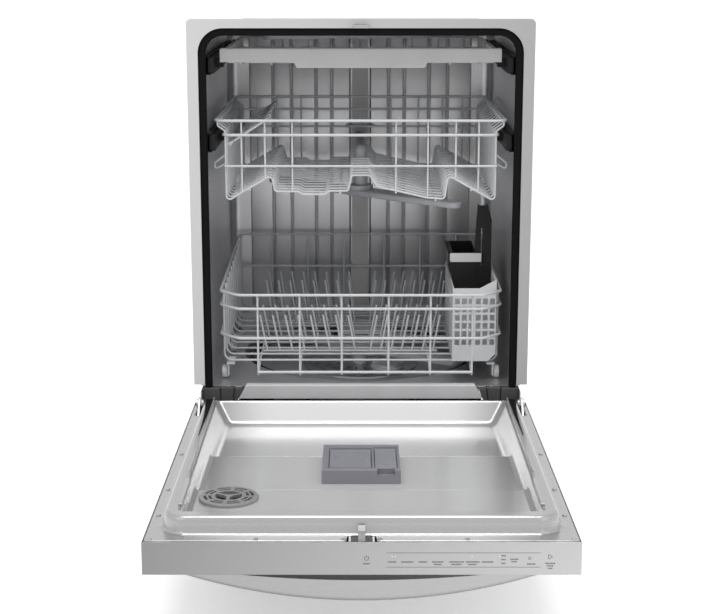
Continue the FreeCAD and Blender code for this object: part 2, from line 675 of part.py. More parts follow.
def hinge_pins():
    """The pins that the door turns on, with a head on each end."""
    inner = SIDE_FRAME_X
    outer = arm_x() + HINGE_ARM_THICK + 0.5
    start = (inner - 3, HINGE_Y, HINGE_Z)
    pin = joined(
        cylinder(start, X_AXIS, HINGE_PIN_R, outer - inner + 6),
        cylinder(start, X_AXIS, HINGE_PIN_HEAD_R, 3),
        cylinder((outer, HINGE_Y, HINGE_Z), X_AXIS, HINGE_PIN_HEAD_R, 3),
    )
    return both_sides(pin)


def base_pan():
    """The drip tray that closes the base, open at the top."""
    low = SIDE_FRAME_BOTTOM_Z + SHEET
    front = SIDE_FRAME_FRONT_Y + TOE_KICK_THICK
    half = PAN_HALF
    tray = box(-half, half, front, SIDE_FRAME_BACK_Y, low, PAN_TOP_Z)
    tray = tray.cut(
        box(-half + PAN_WALL, half - PAN_WALL, front + PAN_WALL, SIDE_FRAME_BACK_Y - PAN_WALL,
            PAN_FLOOR_Z, PAN_TOP_Z + 1)
    )
    wings = box(-SIDE_FRAME_X + 1, SIDE_FRAME_X - 1, front, SIDE_FRAME_BACK_Y, low, low + PAN_WALL)
    tray = joined(tray, wings)
    for x, y in foot_places():
        tray = tray.cut(cylinder((x, y, low - 1), Z_AXIS, FOOT_STEM_R + 2, 10))
    return tray


def toe_kick():
    """The dark panel across the bottom front, fixed to the ends of the side members."""
    half = SIDE_FRAME_X + SHEET
    back = SIDE_FRAME_FRONT_Y
    panel = box(-half, half, back - TOE_KICK_THICK, back, TOE_KICK_BOTTOM_Z, TOE_KICK_TOP_Z)
    return panel.makeFillet(0.8, edges_where(panel, lambda b: b.YMax < back - TOE_KICK_THICK + 0.1))


def foot(x, y):
    """A levelling foot: a round pad on a stem that screws up into the ledge."""
    pad = cylinder((x, y, 0), Z_AXIS, FOOT_PAD_R, FOOT_PAD_HEIGHT)
    pad = pad.makeChamfer(2.0, edges_where(pad, lambda b: b.ZMin > FOOT_PAD_HEIGHT - 0.1))
    return joined(pad, cylinder((x, y, 1), Z_AXIS, FOOT_STEM_R, FOOT_STEM_TOP_Z - 1))


def sump():
    """The bowl under the basin, with the post that the lower spray arm turns on."""
    top = BASIN_Z - SHEET
    wall = cylinder((0, SPRAY_Y, SUMP_BOTTOM_Z), Z_AXIS, SUMP_R, top - SUMP_BOTTOM_Z)
    collar = cylinder((0, SPRAY_Y, top - 3), Z_AXIS, SUMP_R + 12, 3)
    inside = cylinder((0, SPRAY_Y, SUMP_BOTTOM_Z + SUMP_WALL), Z_AXIS, SUMP_R - SUMP_WALL, top)
    bowl = joined(wall, collar).cut(inside)
    shoulder = LOWER_ARM_Z - 0.5
    foot = SUMP_BOTTOM_Z + 1
    post = cylinder((0, SPRAY_Y, foot), Z_AXIS, ARM_JOURNAL_R + 5, shoulder - foot)
    journal = cylinder((0, SPRAY_Y, shoulder - 1), Z_AXIS, ARM_JOURNAL_R, ARM_THICK)
    outlet = cylinder((SUMP_R - 1, SPRAY_Y, PUMP_Z + 12), X_AXIS, 14, 13)
    drain = cylinder((-SUMP_R + 1, SPRAY_Y, DRAIN_SPIGOT_Z), X_AXIS * -1, 12, 11)
    return joined(bowl, post, journal, outlet, drain)


def circulation_pump():
    """The wash pump: a round pump case and its motor on a saddle."""
    face = SUMP_R + 12
    case = cylinder((face, SPRAY_Y, PUMP_Z), X_AXIS, PUMP_VOLUTE_R, 30)
    case = case.makeFillet(4.0, case.Edges)
    length = PAN_HALF - PUMP_SIDE_GAP - face - 28
    motor = cylinder((face + 28, SPRAY_Y, PUMP_Z), X_AXIS, PUMP_MOTOR_R, length)
    motor = motor.makeFillet(5.0, motor.Edges)
    saddle = box(face + 45, face + 85, SPRAY_Y - 24, SPRAY_Y + 24, PAN_FLOOR_Z, PUMP_Z - 20)
    return joined(case, motor, saddle)


def delivery_pipe():
    """The pipe from the wash pump to the foot of the supply duct."""
    x = SUMP_R + 27
    end = (0, TUB_DEPTH - DUCT_DEPTH / 2, TUB_FLOOR_Z - SHEET)
    start = (x, SPRAY_Y + PUMP_VOLUTE_R, PUMP_Z)
    line = [start, (x, end[1] - 60, PUMP_Z), (0, end[1], PUMP_Z), end]
    return rod(line, 15.0, 22.0)


def drain_pump():
    """The small pump that empties the sump, with its spigot at the back."""
    face = -SUMP_R - 10
    body = cylinder((face, SPRAY_Y, DRAIN_SPIGOT_Z), X_AXIS * -1, DRAIN_PUMP_R, 62)
    body = body.makeFillet(4.0, body.Edges)
    x, z = DRAIN_SPIGOT_X, DRAIN_SPIGOT_Z
    mouth = CABINET_BACK_Y - DRAIN_SPIGOT_LENGTH
    pipe = cylinder((x, SPRAY_Y, z), Y_AXIS, DRAIN_SPIGOT_R - 1.5, mouth - SPRAY_Y)
    spigot = cylinder((x, mouth, z), Y_AXIS, DRAIN_SPIGOT_R, DRAIN_SPIGOT_LENGTH)
    bore = cylinder((x, SPRAY_Y + 60, z), Y_AXIS, DRAIN_SPIGOT_R - 3, CABINET_BACK_Y)
    leg = box(face - 50, face - 40, SPRAY_Y - 12, SPRAY_Y + 12, PAN_FLOOR_Z, DRAIN_SPIGOT_Z - 10)
    return joined(body, pipe, spigot, leg).cut(bore)


def inlet_valve():
    """The water valve with its threaded inlet at the back and a riser to the tub."""
    back = CABINET_BACK_Y - INLET_SPIGOT_LENGTH
    block = box(INLET_X - 22, INLET_X + 22, back - 62, back, PAN_FLOOR_Z, INLET_Z + 20)
    block = block.makeFillet(3.0, edges_where(block, lambda b: b.ZLength < 0.1 and b.ZMin > INLET_Z))
    start = (INLET_X, back - 30, INLET_Z)
    spigot = cylinder(start, Y_AXIS, INLET_SPIGOT_R, CABINET_BACK_Y - start[1])
    bore = cylinder(start, Y_AXIS, INLET_SPIGOT_R - 3.5, 60)
    riser = cylinder((INLET_X, back - 40, INLET_Z), Z_AXIS, 8, TUB_FLOOR_Z - SHEET - INLET_Z)
    return joined(block, spigot, riser).cut(bore)


def junction_box():
    """The mains terminal box with a knock-out for the cable."""
    half = 34.0
    front = JUNCTION_BACK_Y - 70
    case = box(JUNCTION_X - half, JUNCTION_X + half, front, JUNCTION_BACK_Y, PAN_FLOOR_Z, JUNCTION_Z + 26)
    room = box(JUNCTION_X - half + 2, JUNCTION_X + half - 2, front + 2, JUNCTION_BACK_Y - 2,
               PAN_FLOOR_Z + 2, JUNCTION_Z + 24)
    hole = cylinder((JUNCTION_X, JUNCTION_BACK_Y - 10, JUNCTION_Z), Y_AXIS, JUNCTION_BORE_R, 20)
    return case.cut(room).cut(hole)


def on_ring(degrees, radius=HEATER_RING_R):
    angle = math.radians(degrees)
    return radius * math.cos(angle), SPRAY_Y + radius * math.sin(angle)


def heater_ends():
    return [on_ring(90 + s * HEATER_GAP_DEG) for s in (-1, 1)]


def heater_element():
    """The heating tube: an open ring in the basin with both ends turned down through the floor."""
    first = 90 + HEATER_GAP_DEG
    turn = 360 - 2 * HEATER_GAP_DEG
    ring = Part.makeTorus(HEATER_RING_R, HEATER_TUBE_R, Vector(0, SPRAY_Y, HEATER_Z), Z_AXIS, 0, 360, turn)
    ring.rotate(Vector(0, SPRAY_Y, HEATER_Z), Z_AXIS, first)
    legs = []
    for x, y in heater_ends():
        legs.append(cylinder((x, y, BASIN_Z - 22), Z_AXIS, HEATER_TUBE_R, HEATER_Z - BASIN_Z + 22))
        legs.append(Part.makeSphere(HEATER_TUBE_R, Vector(x, y, HEATER_Z)))
    return joined(ring, *legs)


def heater_clips():
    """The small posts that hold the heating tube above the basin."""
    posts = []
    tube = Part.makeTorus(HEATER_RING_R, HEATER_TUBE_R + 0.2, Vector(0, SPRAY_Y, HEATER_Z), Z_AXIS)
    for degrees in HEATER_CLIP_DEGS:
        x, y = on_ring(degrees, HEATER_RING_R)
        post = box(x - 4, x + 4, y - 4, y + 4, BASIN_Z, HEATER_Z + 2)
        posts.append(post.cut(tube))
    return Part.makeCompound(posts)


def filter_plate():
    """The flat coarse filter round the spray post, with rows of slots and a seat for the fine filter."""
    disc = cylinder((0, SPRAY_Y, BASIN_Z), Z_AXIS, FILTER_R, FILTER_THICK)
    disc = disc.cut(cylinder((0, SPRAY_Y, BASIN_Z - 1), Z_AXIS, ARM_JOURNAL_R + 5.5, 10))
    seat = cylinder((FILTER_CUP_X, SPRAY_Y + FILTER_CUP_Y, BASIN_Z - 1), Z_AXIS, FILTER_CUP_R + 0.3, 10)
    slots = []
    for ring, count in ((38.0, 18), (60.0, 28), (82.0, 38)):
        for k in range(count):
            degrees = 360.0 * k / count
            slot = box(ring, ring + 14, -1.5, 1.5, BASIN_Z - 1, BASIN_Z + 5)
            slot.rotate(Vector(0, 0, 0), Z_AXIS, degrees)
            slot.translate(Vector(0, SPRAY_Y, 0))
            middle = Vector(*on_ring(degrees, ring + 7), 0)
            cup = Vector(FILTER_CUP_X, SPRAY_Y + FILTER_CUP_Y, 0)
            if middle.distanceToPoint(cup) > FILTER_CUP_R + 12:
                slots.append(slot)
    return disc.cut(seat).cut(slots)


def filter_cup():
    """The fine filter that twists into the sump: a mesh cup with a grip across its top."""
    x = FILTER_CUP_X
    y = SPRAY_Y + FILTER_CUP_Y
    tube = cylinder((x, y, SUMP_BOTTOM_Z + 10), Z_AXIS, FILTER_CUP_R - 2, BASIN_Z - SUMP_BOTTOM_Z)
    brim = cylinder((x, y, BASIN_Z + FILTER_THICK + 0.3), Z_AXIS, FILTER_CUP_R + 4, 3)
    inside = cylinder((x, y, SUMP_BOTTOM_Z + 12), Z_AXIS, FILTER_CUP_R - 4, 200)
    grip = box(x - FILTER_CUP_R, x + FILTER_CUP_R, y - 3, y + 3, BASIN_Z, BASIN_Z + 18)
    cup = joined(tube, brim).cut(inside)
    return joined(cup, grip)


def spray_arm(radius, bottom, hub_low, hub_high, turn):
    """A two-ended spray arm lying flat about (0, SPRAY_Y), with a row of nozzles on top."""
    top = bottom + ARM_THICK
    tip = ARM_TIP_WIDTH / 2
    root = ARM_ROOT_WIDTH / 2
    reach = radius - tip
    outline = [(-reach, -tip), (0, -root), (reach, -tip), (reach, tip), (0, root), (-reach, tip)]
    blade = prism(outline, "z", bottom, top)
    ends = [cylinder((s * reach, 0, bottom), Z_AXIS, tip, ARM_THICK) for s in (-1, 1)]
    blade = joined(blade, *ends)
    rim = edges_where(blade, lambda b: b.ZLength < 0.1)
    blade = blade.makeFillet(3.0, rim)
    hub = cylinder((0, 0, hub_low), Z_AXIS, root - 1, hub_high - hub_low)
    nozzles = []
    for side in (-1, 1):
        for k in range(5):
            x = side * (45 + k * (reach - 50) / 4.6)
            nozzles.append(cylinder((x, side * (3 if k % 2 else -3), top - 2), Z_AXIS, 4.5, 3.5))
    arm = joined(blade, hub, *nozzles)
    arm.rotate(Vector(0, 0, 0), Z_AXIS, turn)
    arm.translate(Vector(0, SPRAY_Y, 0))
    return arm


def lower_spray_arm():
    low = LOWER_ARM_Z
    arm = spray_arm(LOWER_ARM_R, low + 2, low, low + 17, LOWER_ARM_DEG)
    seat = cylinder((0, SPRAY_Y, low - 1), Z_AXIS, ARM_JOURNAL_R + RUNNING_GAP, ARM_THICK)
    return arm.cut(seat)


def middle_spray_arm():
    low = MIDDLE_ARM_Z
    arm = spray_arm(MIDDLE_ARM_R, low, low, low + 19, MIDDLE_ARM_DEG)
    return arm.cut(cylinder((0, SPRAY_Y, low - 1), Z_AXIS, ARM_JOURNAL_R + RUNNING_GAP, 40))


def top_spray_arm():
    low = TOP_ARM_Z
    arm = spray_arm(TOP_ARM_R, low, low - 1.5, low + ARM_THICK, TOP_ARM_DEG)
    seat = cylinder((0, SPRAY_Y, low + 3), Z_AXIS, ARM_JOURNAL_R + RUNNING_GAP, 40)
    return arm.cut(seat)


def supply_duct():
    """The flat water duct up the back wall and along the ceiling, with the upper rack's docking port."""
    half = DUCT_WIDTH / 2
    roof = TUB_CEILING_Z - DUCT_ROOF
    end = SPRAY_Y - half
    turn = TUB_BACK_R + 2
    line = [
        (DUCT_FRONT_Y, TUB_FLOOR_Z), (TUB_DEPTH, TUB_FLOOR_Z), (TUB_DEPTH, TUB_CEILING_Z - turn),
        (TUB_DEPTH - turn, TUB_CEILING_Z), (end, TUB_CEILING_Z), (end, roof), (DUCT_FRONT_Y - 8, roof),
        (DUCT_FRONT_Y, roof - 8),
    ]
    duct = prism(line, "x", -half, half)
    journal = cylinder((0, SPRAY_Y, TOP_ARM_Z + 4), Z_AXIS, ARM_JOURNAL_R, roof - TOP_ARM_Z)
    port = cylinder((0, DUCT_FRONT_Y + 2, DOCK_Z), Y_AXIS * -1, FEED_TUBE_R + 3, 14)
    spare = cylinder((0, DUCT_FRONT_Y + 2, DOCK_Z + 56), Y_AXIS * -1, FEED_TUBE_R, 4)
    collar = box(-half - 12, half + 12, DUCT_FRONT_Y - 6, TUB_DEPTH, DOCK_Z + 18, DOCK_Z + 22)
    bore = cylinder((0, DUCT_FRONT_Y + 6, DOCK_Z), Y_AXIS * -1, FEED_TUBE_R - 3, 30)
    return joined(duct, journal, port, spare, collar).cut(bore)


def rail_pair(middle_z):
    """Two fixed channels on the side walls of the tub."""
    low = middle_z - RAIL_TALL / 2
    high = middle_z + RAIL_TALL / 2
    channel = box(TUB_HALF - RAIL_LIP, TUB_HALF, RAIL_FRONT_Y, RAIL_BACK_Y, low, high)
    hollow = box(TUB_HALF - RAIL_LIP - 1, TUB_HALF - SHEET, RAIL_FRONT_Y - 1, RAIL_BACK_Y - SHEET,
                 low + SHEET, high - SHEET)
    return both_sides(channel.cut(hollow))


def slide_pair(middle_z, reach_x, bracket_ys):
    """Two bars that run in the channels, with brackets that reach in to a rack at reach_x."""
    half = RAIL_TALL / 2 - SHEET - SLIDE_GAP
    inner = SLIDE_OUT_X - SLIDE_THICK
    bar = box(inner, SLIDE_OUT_X, RAIL_FRONT_Y + 4, SLIDE_BACK_Y, middle_z - half, middle_z + half)
    bar = bar.makeFillet(2.0, edges_where(bar, lambda b: b.YMax < RAIL_FRONT_Y + 4.1))
    brackets = [box(reach_x, inner + 1, y - 12, y + 12, middle_z - 7, middle_z + 7) for y in bracket_ys]
    return both_sides(joined(bar, *brackets))


def upper_profile():
    """The bent line of the upper rack's cross wires, from the left rim to the right one, as (X, Z)."""
    side = UPPER_HALF_WIDTH
    lip = UPPER_RIM_HALF - RIM_WIRE / 2 - UPPER_WIRE / 2 + WELD_SINK
    top = [(-lip, UPPER_RIM_Z), (-lip, UPPER_MID_Z + 16), (-side, UPPER_MID_Z + 7)]
    floor = [
        (-side, UPPER_POCKET_Z),
        (-157, UPPER_PEAK_Z),
        (-151, UPPER_FLAT_Z),
        (-110, UPPER_FLAT_Z),
        (-103, UPPER_FLAT_Z - 5),
        (-63, UPPER_FLAT_Z - 5),
        (-56, UPPER_FLAT_Z + 1),
        (-22, UPPER_FLAT_Z + 1),
        (-16, UPPER_PEAK_Z),
        (16, UPPER_PEAK_Z),
        (30, UPPER_FLAT_Z + 9),
        (118, UPPER_FLAT_Z - 11),
        (148, UPPER_FLAT_Z - 13),
        (154, UPPER_PEAK_Z),
        (side, UPPER_POCKET_Z),
    ]
    return top + floor + [(-x, z) for x, z in reversed(top)]


def upper_floor_z(x):
    """The height of the upper rack's cross wires at X."""
    line = upper_profile()
    for (x0, z0), (x1, z1) in zip(line, line[1:]):
        if x0 <= x <= x1 and x1 > x0:
            return z0 + (z1 - z0) * (x - x0) / (x1 - x0)
    raise ValueError("outside the upper rack")


def upper_wire_ys():
    return [UPPER_FRONT_Y + k * UPPER_WIRE_PITCH for k in range(UPPER_WIRE_COUNT)]


def loop(half, front, back, z, diameter, bend):
    corners = [(-half, front, z), (half, front, z), (half, back, z), (-half, back, z)]
    return rod(corners, diameter, bend, True)


def upper_rack_wires():
    """The upper rack: bent cross wires, rims, posts and long wires."""
    line = upper_profile()
    wires = [rod([(x, y, z) for x, z in line], UPPER_WIRE, 6.0) for y in upper_wire_ys()]
    first = upper_wire_ys()[0]
    last = upper_wire_ys()[-1]
    step = (RIM_WIRE + UPPER_WIRE) / 2 - WELD_SINK
    front = first - step
    back = last + step
    wires.append(loop(UPPER_RIM_HALF, front, back, UPPER_RIM_Z, RIM_WIRE, 14.0))
    side = UPPER_HALF_WIDTH + step
    wires.append(loop(side, front, back, UPPER_MID_Z, RIM_WIRE, 12.0))
    low_ends = UPPER_HALF_WIDTH + 2
    wires.append(rod([(-low_ends, front, UPPER_LOW_Z), (low_ends, front, UPPER_LOW_Z)], RACK_WIRE))
    back_low = DOCK_Z + FEED_TUBE_R + 12
    wires.append(rod([(-low_ends, back, back_low), (low_ends, back, back_low)], RACK_WIRE))
    half = UPPER_HALF_WIDTH
    for y in (first, last):
        for x in spaced_xs(half, UPPER_POST_LEFT_INSETS, (UPPER_POST_MIDDLE_X,), UPPER_POST_RIGHT_INSETS):
            wires.append(rod([(x, y, upper_floor_z(x)), (x, y, UPPER_RIM_Z)], UPPER_WIRE))
    for x in spaced_xs(half, UPPER_LONG_INSETS, UPPER_LONG_MIDDLE_XS, UPPER_LONG_INSETS):
        z = upper_floor_z(x) - UPPER_WIRE + WELD_SINK
        wires.append(rod([(x, first - 2, z), (x, last + 2, z)], UPPER_WIRE))
    for y in (first + UPPER_WIRE_PITCH, last - UPPER_WIRE_PITCH):
        for s in (-1, 1):
            root = s * UPPER_HALF_WIDTH
            out = s * (UPPER_HALF_WIDTH + UPPER_HOOK_REACH)
            z = UPPER_HOOK_Z
            hook = [(root, y, z + 16), (out, y, z), (out, y, z - 12), (root, y, z)]
            wires.append(rod(hook, UPPER_WIRE, 4.0))
    return Part.makeCompound(wires)


def upper_slides():
    gap = UPPER_HALF_WIDTH + UPPER_WIRE / 2 + 0.1
    return slide_pair(UPPER_RAIL_Z, gap, [UPPER_FRONT_Y + step for step in UPPER_BRACKET_STEPS])


def cup_shelf():
    """The fold-up cup shelf on the left of the upper rack, with scalloped edge and slots."""
    x = CUP_SHELF_HINGE_X
    z = CUP_SHELF_HINGE_Z
    shelf = box(x, x + CUP_SHELF_WIDTH, CUP_SHELF_FRONT_Y, CUP_SHELF_BACK_Y,
                z - CUP_SHELF_THICK / 2, z + CUP_SHELF_THICK / 2)
    long_edge = edges_where(shelf, lambda b: b.XMin > x + 1 and b.ZLength > 1)
    shelf = shelf.makeFillet(12.0, long_edge)
    length = CUP_SHELF_BACK_Y - CUP_SHELF_FRONT_Y
    for k in range(4):
        y = CUP_SHELF_FRONT_Y + length * (k + 1) / 5
        shelf = shelf.cut(cylinder((x + CUP_SHELF_WIDTH, y, z - 10), Z_AXIS, 11, 20))
    for k in range(5):
        y = CUP_SHELF_FRONT_Y + length * (k + 0.5) / 5
        shelf = shelf.cut(box(x + 14, x + 56, y - 9, y + 9, z - 10, z + 10))
    barrel = cylinder((x, CUP_SHELF_FRONT_Y, z), Y_AXIS, CUP_SHELF_BARREL_R, length)
    shelf = joined(shelf, barrel)
    shelf.rotate(Vector(x, 0, z), Y_AXIS, -CUP_SHELF_DEG)
    return shelf


def feed_tube():
    """The tube that carries water from the docking port to the middle spray arm."""
    dock = DUCT_FRONT_Y - 12.5
    run = cylinder((0, SPRAY_Y, DOCK_Z), Y_AXIS, FEED_TUBE_R, dock - SPRAY_Y)
    elbow = Part.makeSphere(FEED_DROP_R, Vector(0, SPRAY_Y, DOCK_Z))
    arm_top = MIDDLE_ARM_Z + 19.5
    drop = cylinder((0, SPRAY_Y, arm_top), Z_AXIS, FEED_DROP_R, DOCK_Z - arm_top)
    journal = cylinder((0, SPRAY_Y, MIDDLE_ARM_Z - 4), Z_AXIS, ARM_JOURNAL_R, 40)
    cap = cylinder((0, SPRAY_Y, MIDDLE_ARM_Z - 4.5), Z_AXIS, ARM_JOURNAL_R + 4, 4)
    return joined(run, elbow, drop, journal, cap)


def lower_cross_ys():
    return [LOWER_CROSS_FIRST_Y + k * LOWER_CROSS_PITCH for k in range(LOWER_CROSS_COUNT)]


def lower_rack_frame():
    """The lower rack's rims, cross wires bent up at the sides and long wires bent up at the ends."""
    half = LOWER_HALF_WIDTH
    cut = LOWER_CORNER_CUT
    plan = [
        (-half, LOWER_FRONT_Y + cut), (-half + cut, LOWER_FRONT_Y), (half - cut, LOWER_FRONT_Y),
        (half, LOWER_FRONT_Y + cut), (half, LOWER_BACK_Y), (-half, LOWER_BACK_Y),
    ]
    long = LOWER_BACK_Y - LOWER_FRONT_Y - cut
    top, second, low = LOWER_RIM_ZS

    def climb(z, y, lift):
        return z + lift * max(0.0, y - LOWER_FRONT_Y - cut) / long

    wires = []
    for z, lift in ((top, LOWER_TOP_LIFT), (low, LOWER_LOW_LIFT)):
        wires.append(rod([(x, y, climb(z, y, lift)) for x, y in plan], RIM_WIRE, 16.0, True))
    end_y = LOWER_FRONT_Y + cut + LOWER_HANDLE_LONG
    front_bar = [(-half, end_y)] + plan[:4] + [(half, end_y)]
    wires.append(rod([(x, y, second) for x, y in front_bar], RIM_WIRE, 16.0))
    step = (RIM_WIRE + RACK_WIRE) / 2 - WELD_SINK
    side = half - step
    for y in lower_cross_ys():
        high = climb(top, y, LOWER_TOP_LIFT)
        bent = [(-side, y, high), (-side, y, LOWER_FLOOR_Z), (side, y, LOWER_FLOOR_Z), (side, y, high)]
        wires.append(rod(bent, RACK_WIRE, 14.0))
    front = LOWER_FRONT_Y + step
    back = LOWER_BACK_Y - step
    back_top = top + LOWER_TOP_LIFT
    dip = LOWER_LONG_Z - LOWER_FRONT_DROP
    ramp = front + LOWER_FRONT_RAMP
    places = spaced_xs(half, LOWER_LONG_LEFT_INSETS, LOWER_LONG_MIDDLE_XS, LOWER_LONG_RIGHT_INSETS)
    for x in places:
        bent = [(x, front, top), (x, front, dip), (x, ramp, LOWER_LONG_Z), (x, back, LOWER_LONG_Z),
                (x, back, back_top)]
        wires.append(rod(bent, RACK_WIRE, 6.0))
    ends = (places[0], places[-1])
    wires.append(rod([(x, LOWER_FRONT_Y, dip + LOWER_BAR_LIFT) for x in ends], RIM_WIRE))
    return Part.makeCompound(wires)


def tine_row(y, tall, right_end):
    """One row of tines on its base wire: the left half leans left and the right half leans right."""
    z = LOWER_LONG_Z + RACK_WIRE + 0.05
    left_room = LOWER_HALF_WIDTH - TINE_LEFT_ROOM - TINE_NEAREST_X
    left = [-TINE_NEAREST_X - k * TINE_LEFT_PITCH for k in range(copies_in(left_room, TINE_LEFT_PITCH))]
    first = TINE_NEAREST_X + TINE_MIDDLE_STEP
    right = [first + k * TINE_RIGHT_PITCH for k in range(copies_in(right_end - first, TINE_RIGHT_PITCH))]
    solids = [rod([(left[-1] - 8, y, z), (right[-1] + 8, y, z)], RACK_WIRE)]
    for x, lean in [(x, -TINE_LEAN) for x in left] + [(x, TINE_LEAN) for x in right]:
        solids.append(rod([(x, y, z), (x + lean, y, z + tall)], TINE_WIRE))
    return solids


def lower_rack_tines():
    """The four rows of plate tines."""
    solids = []
    for y in TINE_ROWS_FRONT:
        solids += tine_row(y, TINE_TALL_FRONT, CUTLERY_LEFT_X - TINE_CUTLERY_ROOM)
    for y in TINE_ROWS_BACK:
        solids += tine_row(y, TINE_TALL_BACK, LOWER_HALF_WIDTH - TINE_RIGHT_ROOM)
    return Part.makeCompound(solids)


def wheel_carriers():
    """The brackets under the lower rack's sides, each with a stub axle for its wheel."""
    inner = WHEEL_X - WHEEL_THICK / 2 - 1.0
    hook = LOWER_FLOOR_Z - RACK_WIRE / 2 - 0.1
    carriers = []
    for y in WHEEL_YS:
        plate = box(inner - 3, inner, y - 9, y + 9, WHEEL_Z - 7, hook)
        shelf = box(inner - 14, inner, y - 24, y + 24, hook - 2.5, hook)
        axle = cylinder((inner - 1, y, WHEEL_Z), X_AXIS, AXLE_R, WHEEL_THICK + 2.5)
        carrier = joined(plate, shelf, axle)
        carriers += [carrier, mirrored(carrier)]
    return Part.makeCompound(carriers)


def wheel_pair(y):
    """The left and right wheel on one axle line of the lower rack."""
    inner = WHEEL_X - WHEEL_THICK / 2
    wheel = cylinder((inner, y, WHEEL_Z), X_AXIS, WHEEL_R, WHEEL_THICK)
    wheel = wheel.makeFillet(1.5, wheel.Edges)
    dish = cylinder((inner + WHEEL_THICK - 2, y, WHEEL_Z), X_AXIS, WHEEL_R - 4, 5)
    bore = cylinder((inner - 1, y, WHEEL_Z), X_AXIS, AXLE_R + RUNNING_GAP, WHEEL_THICK + 5)
    return both_sides(wheel.cut(dish).cut(bore))


def cutlery_basket():
    """The open cutlery basket: walls of small holes over a plain band, a slanted rim and a partition."""
    x0, x1 = CUTLERY_LEFT_X, CUTLERY_RIGHT_X
    y0, y1 = CUTLERY_FRONT_Y, CUTLERY_BACK_Y
    z0 = LOWER_FLOOR_Z + RACK_WIRE / 2 + 0.1
    wall = CUTLERY_WALL
    foot_cut = CUTLERY_FOOT_CUT
    outline = [
        (x0, z0), (x1 - foot_cut, z0), (x1, z0 + foot_cut), (x1, CUTLERY_TOP_RIGHT_Z),
        (x1 - 30, CUTLERY_TOP_LEFT_Z), (x0, CUTLERY_TOP_LEFT_Z),
    ]
    high = CUTLERY_TOP_RIGHT_Z + 1
    room = [
        (x0 + wall, z0 + wall), (x1 - wall - foot_cut, z0 + wall), (x1 - wall, z0 + wall + foot_cut),
        (x1 - wall, high), (x0 + wall, high),
    ]
    shell = prism(outline, "y", y0, y1).cut(prism(room, "y", y0 + wall, y1 - wall))
    holes = []
    rows = 6
    first_z = z0 + CUTLERY_BAND
    side = CUTLERY_HOLE
    for row in range(rows):
        z = first_z + row * CUTLERY_HOLE_PITCH * 1.2
        for column in range(6):
            x = x0 + 4 + column * CUTLERY_HOLE_PITCH
            holes.append(box(x, x + side, y0 - 1, y1 + 1, z, z + side + 2))
        for column in range(10):
            y = y0 + 12 + column * 26.0
            holes.append(box(x0 - 1, x1 + 1, y, y + 13, z, z + side + 2))
    cut_z = z0 + foot_cut
    high = CUTLERY_TOP_LEFT_Z - CUTLERY_PARTITION_DROP
    partition_outline = [(x0, z0), (x1 - foot_cut, z0), (x1, cut_z), (x1, high), (x0, high)]
    y = CUTLERY_PARTITION_Y
    return joined(shell.cut(holes), prism(partition_outline, "y", y, y + wall))


def cutlery_grip():
    """The dark divider in the cutlery basket, with a flared hopper in front and a tall grip."""
    x0 = CUTLERY_LEFT_X + CUTLERY_WALL + 0.5
    x1 = CUTLERY_RIGHT_X - CUTLERY_WALL - 0.5
    z0 = LOWER_FLOOR_Z + RACK_WIRE / 2 + 0.1 + CUTLERY_WALL
    y = CUTLERY_GRIP_Y
    middle = (x0 + x1) / 2 + 8
    brim = CUTLERY_HOPPER_TOP_Z
    top = CUTLERY_GRIP_TOP_Z
    hopper_outline = [
        (x0, z0), (middle, z0), (middle, brim), (x0 - 5, brim), (x0 - 9, brim + 4), (x0 - 3, brim - 16),
        (x0, CUTLERY_TOP_RIGHT_Z + 8),
    ]
    half = CUTLERY_HOPPER_LONG / 2
    hopper = prism(hopper_outline, "y", y - half, y + half)
    inside = box(x0 + 2, middle - 2, y - half + 2, y + half - 2, z0 + 2, top)
    foot_cut = CUTLERY_FOOT_CUT
    panel_outline = [
        (middle - 2, z0), (x1 - foot_cut, z0), (x1, z0 + foot_cut), (x1, top - 30), (x1 - 8, top - 1),
        (x1 - 12, top - 5), (middle + 6, top - 5), (middle + 3, top), (middle + 1, top - 25),
        (middle - 2, brim),
    ]
    front = y - half + 4
    panel = prism(panel_outline, "y", front, front + CUTLERY_GRIP_THICK)
    slit = box(middle + 9, middle + 12, front - 1, front + CUTLERY_GRIP_THICK + 1,
               CUTLERY_TOP_RIGHT_Z + 3, top - 45)
    return joined(hopper.cut(inside), panel).cut(slit)


def third_cross_ys():
    first = THIRD_FRONT_Y + THIRD_PANEL_THICK + 20
    return [first + k * THIRD_CROSS_PITCH for k in range(THIRD_CROSS_COUNT)]


def third_rack_tray():
    """The shallow wire tray of the third rack."""
    step = THIRD_WIRE - WELD_SINK
    half = THIRD_HALF_WIDTH
    front = THIRD_FRONT_Y + THIRD_PANEL_THICK + RACK_WIRE / 2 + 0.1
    top = THIRD_RIM_Z
    wires = [loop(half, front, THIRD_BACK_Y, top, RACK_WIRE, 10.0)]
    side = half - (RACK_WIRE + THIRD_WIRE) / 2 + WELD_SINK
    for y in third_cross_ys():
        bent = [(-side, y, top), (-side, y, THIRD_FLOOR_Z), (side, y, THIRD_FLOOR_Z), (side, y, top)]
        wires.append(rod(bent, THIRD_WIRE, 6.0))
    inner_front = front + (RACK_WIRE + THIRD_WIRE) / 2 - WELD_SINK
    inner_back = THIRD_BACK_Y - (RACK_WIRE + THIRD_WIRE) / 2 + WELD_SINK
    low = THIRD_FLOOR_Z - step
    reach = copies_in(half - THIRD_LONG_ROOM, THIRD_LONG_PITCH)
    for k in range(1 - reach, reach):
        x = k * THIRD_LONG_PITCH
        bent = [(x, inner_front, top), (x, inner_front, low), (x, inner_back, low), (x, inner_back, top)]
        wires.append(rod(bent, THIRD_WIRE, 6.0))
    return Part.makeCompound(wires)


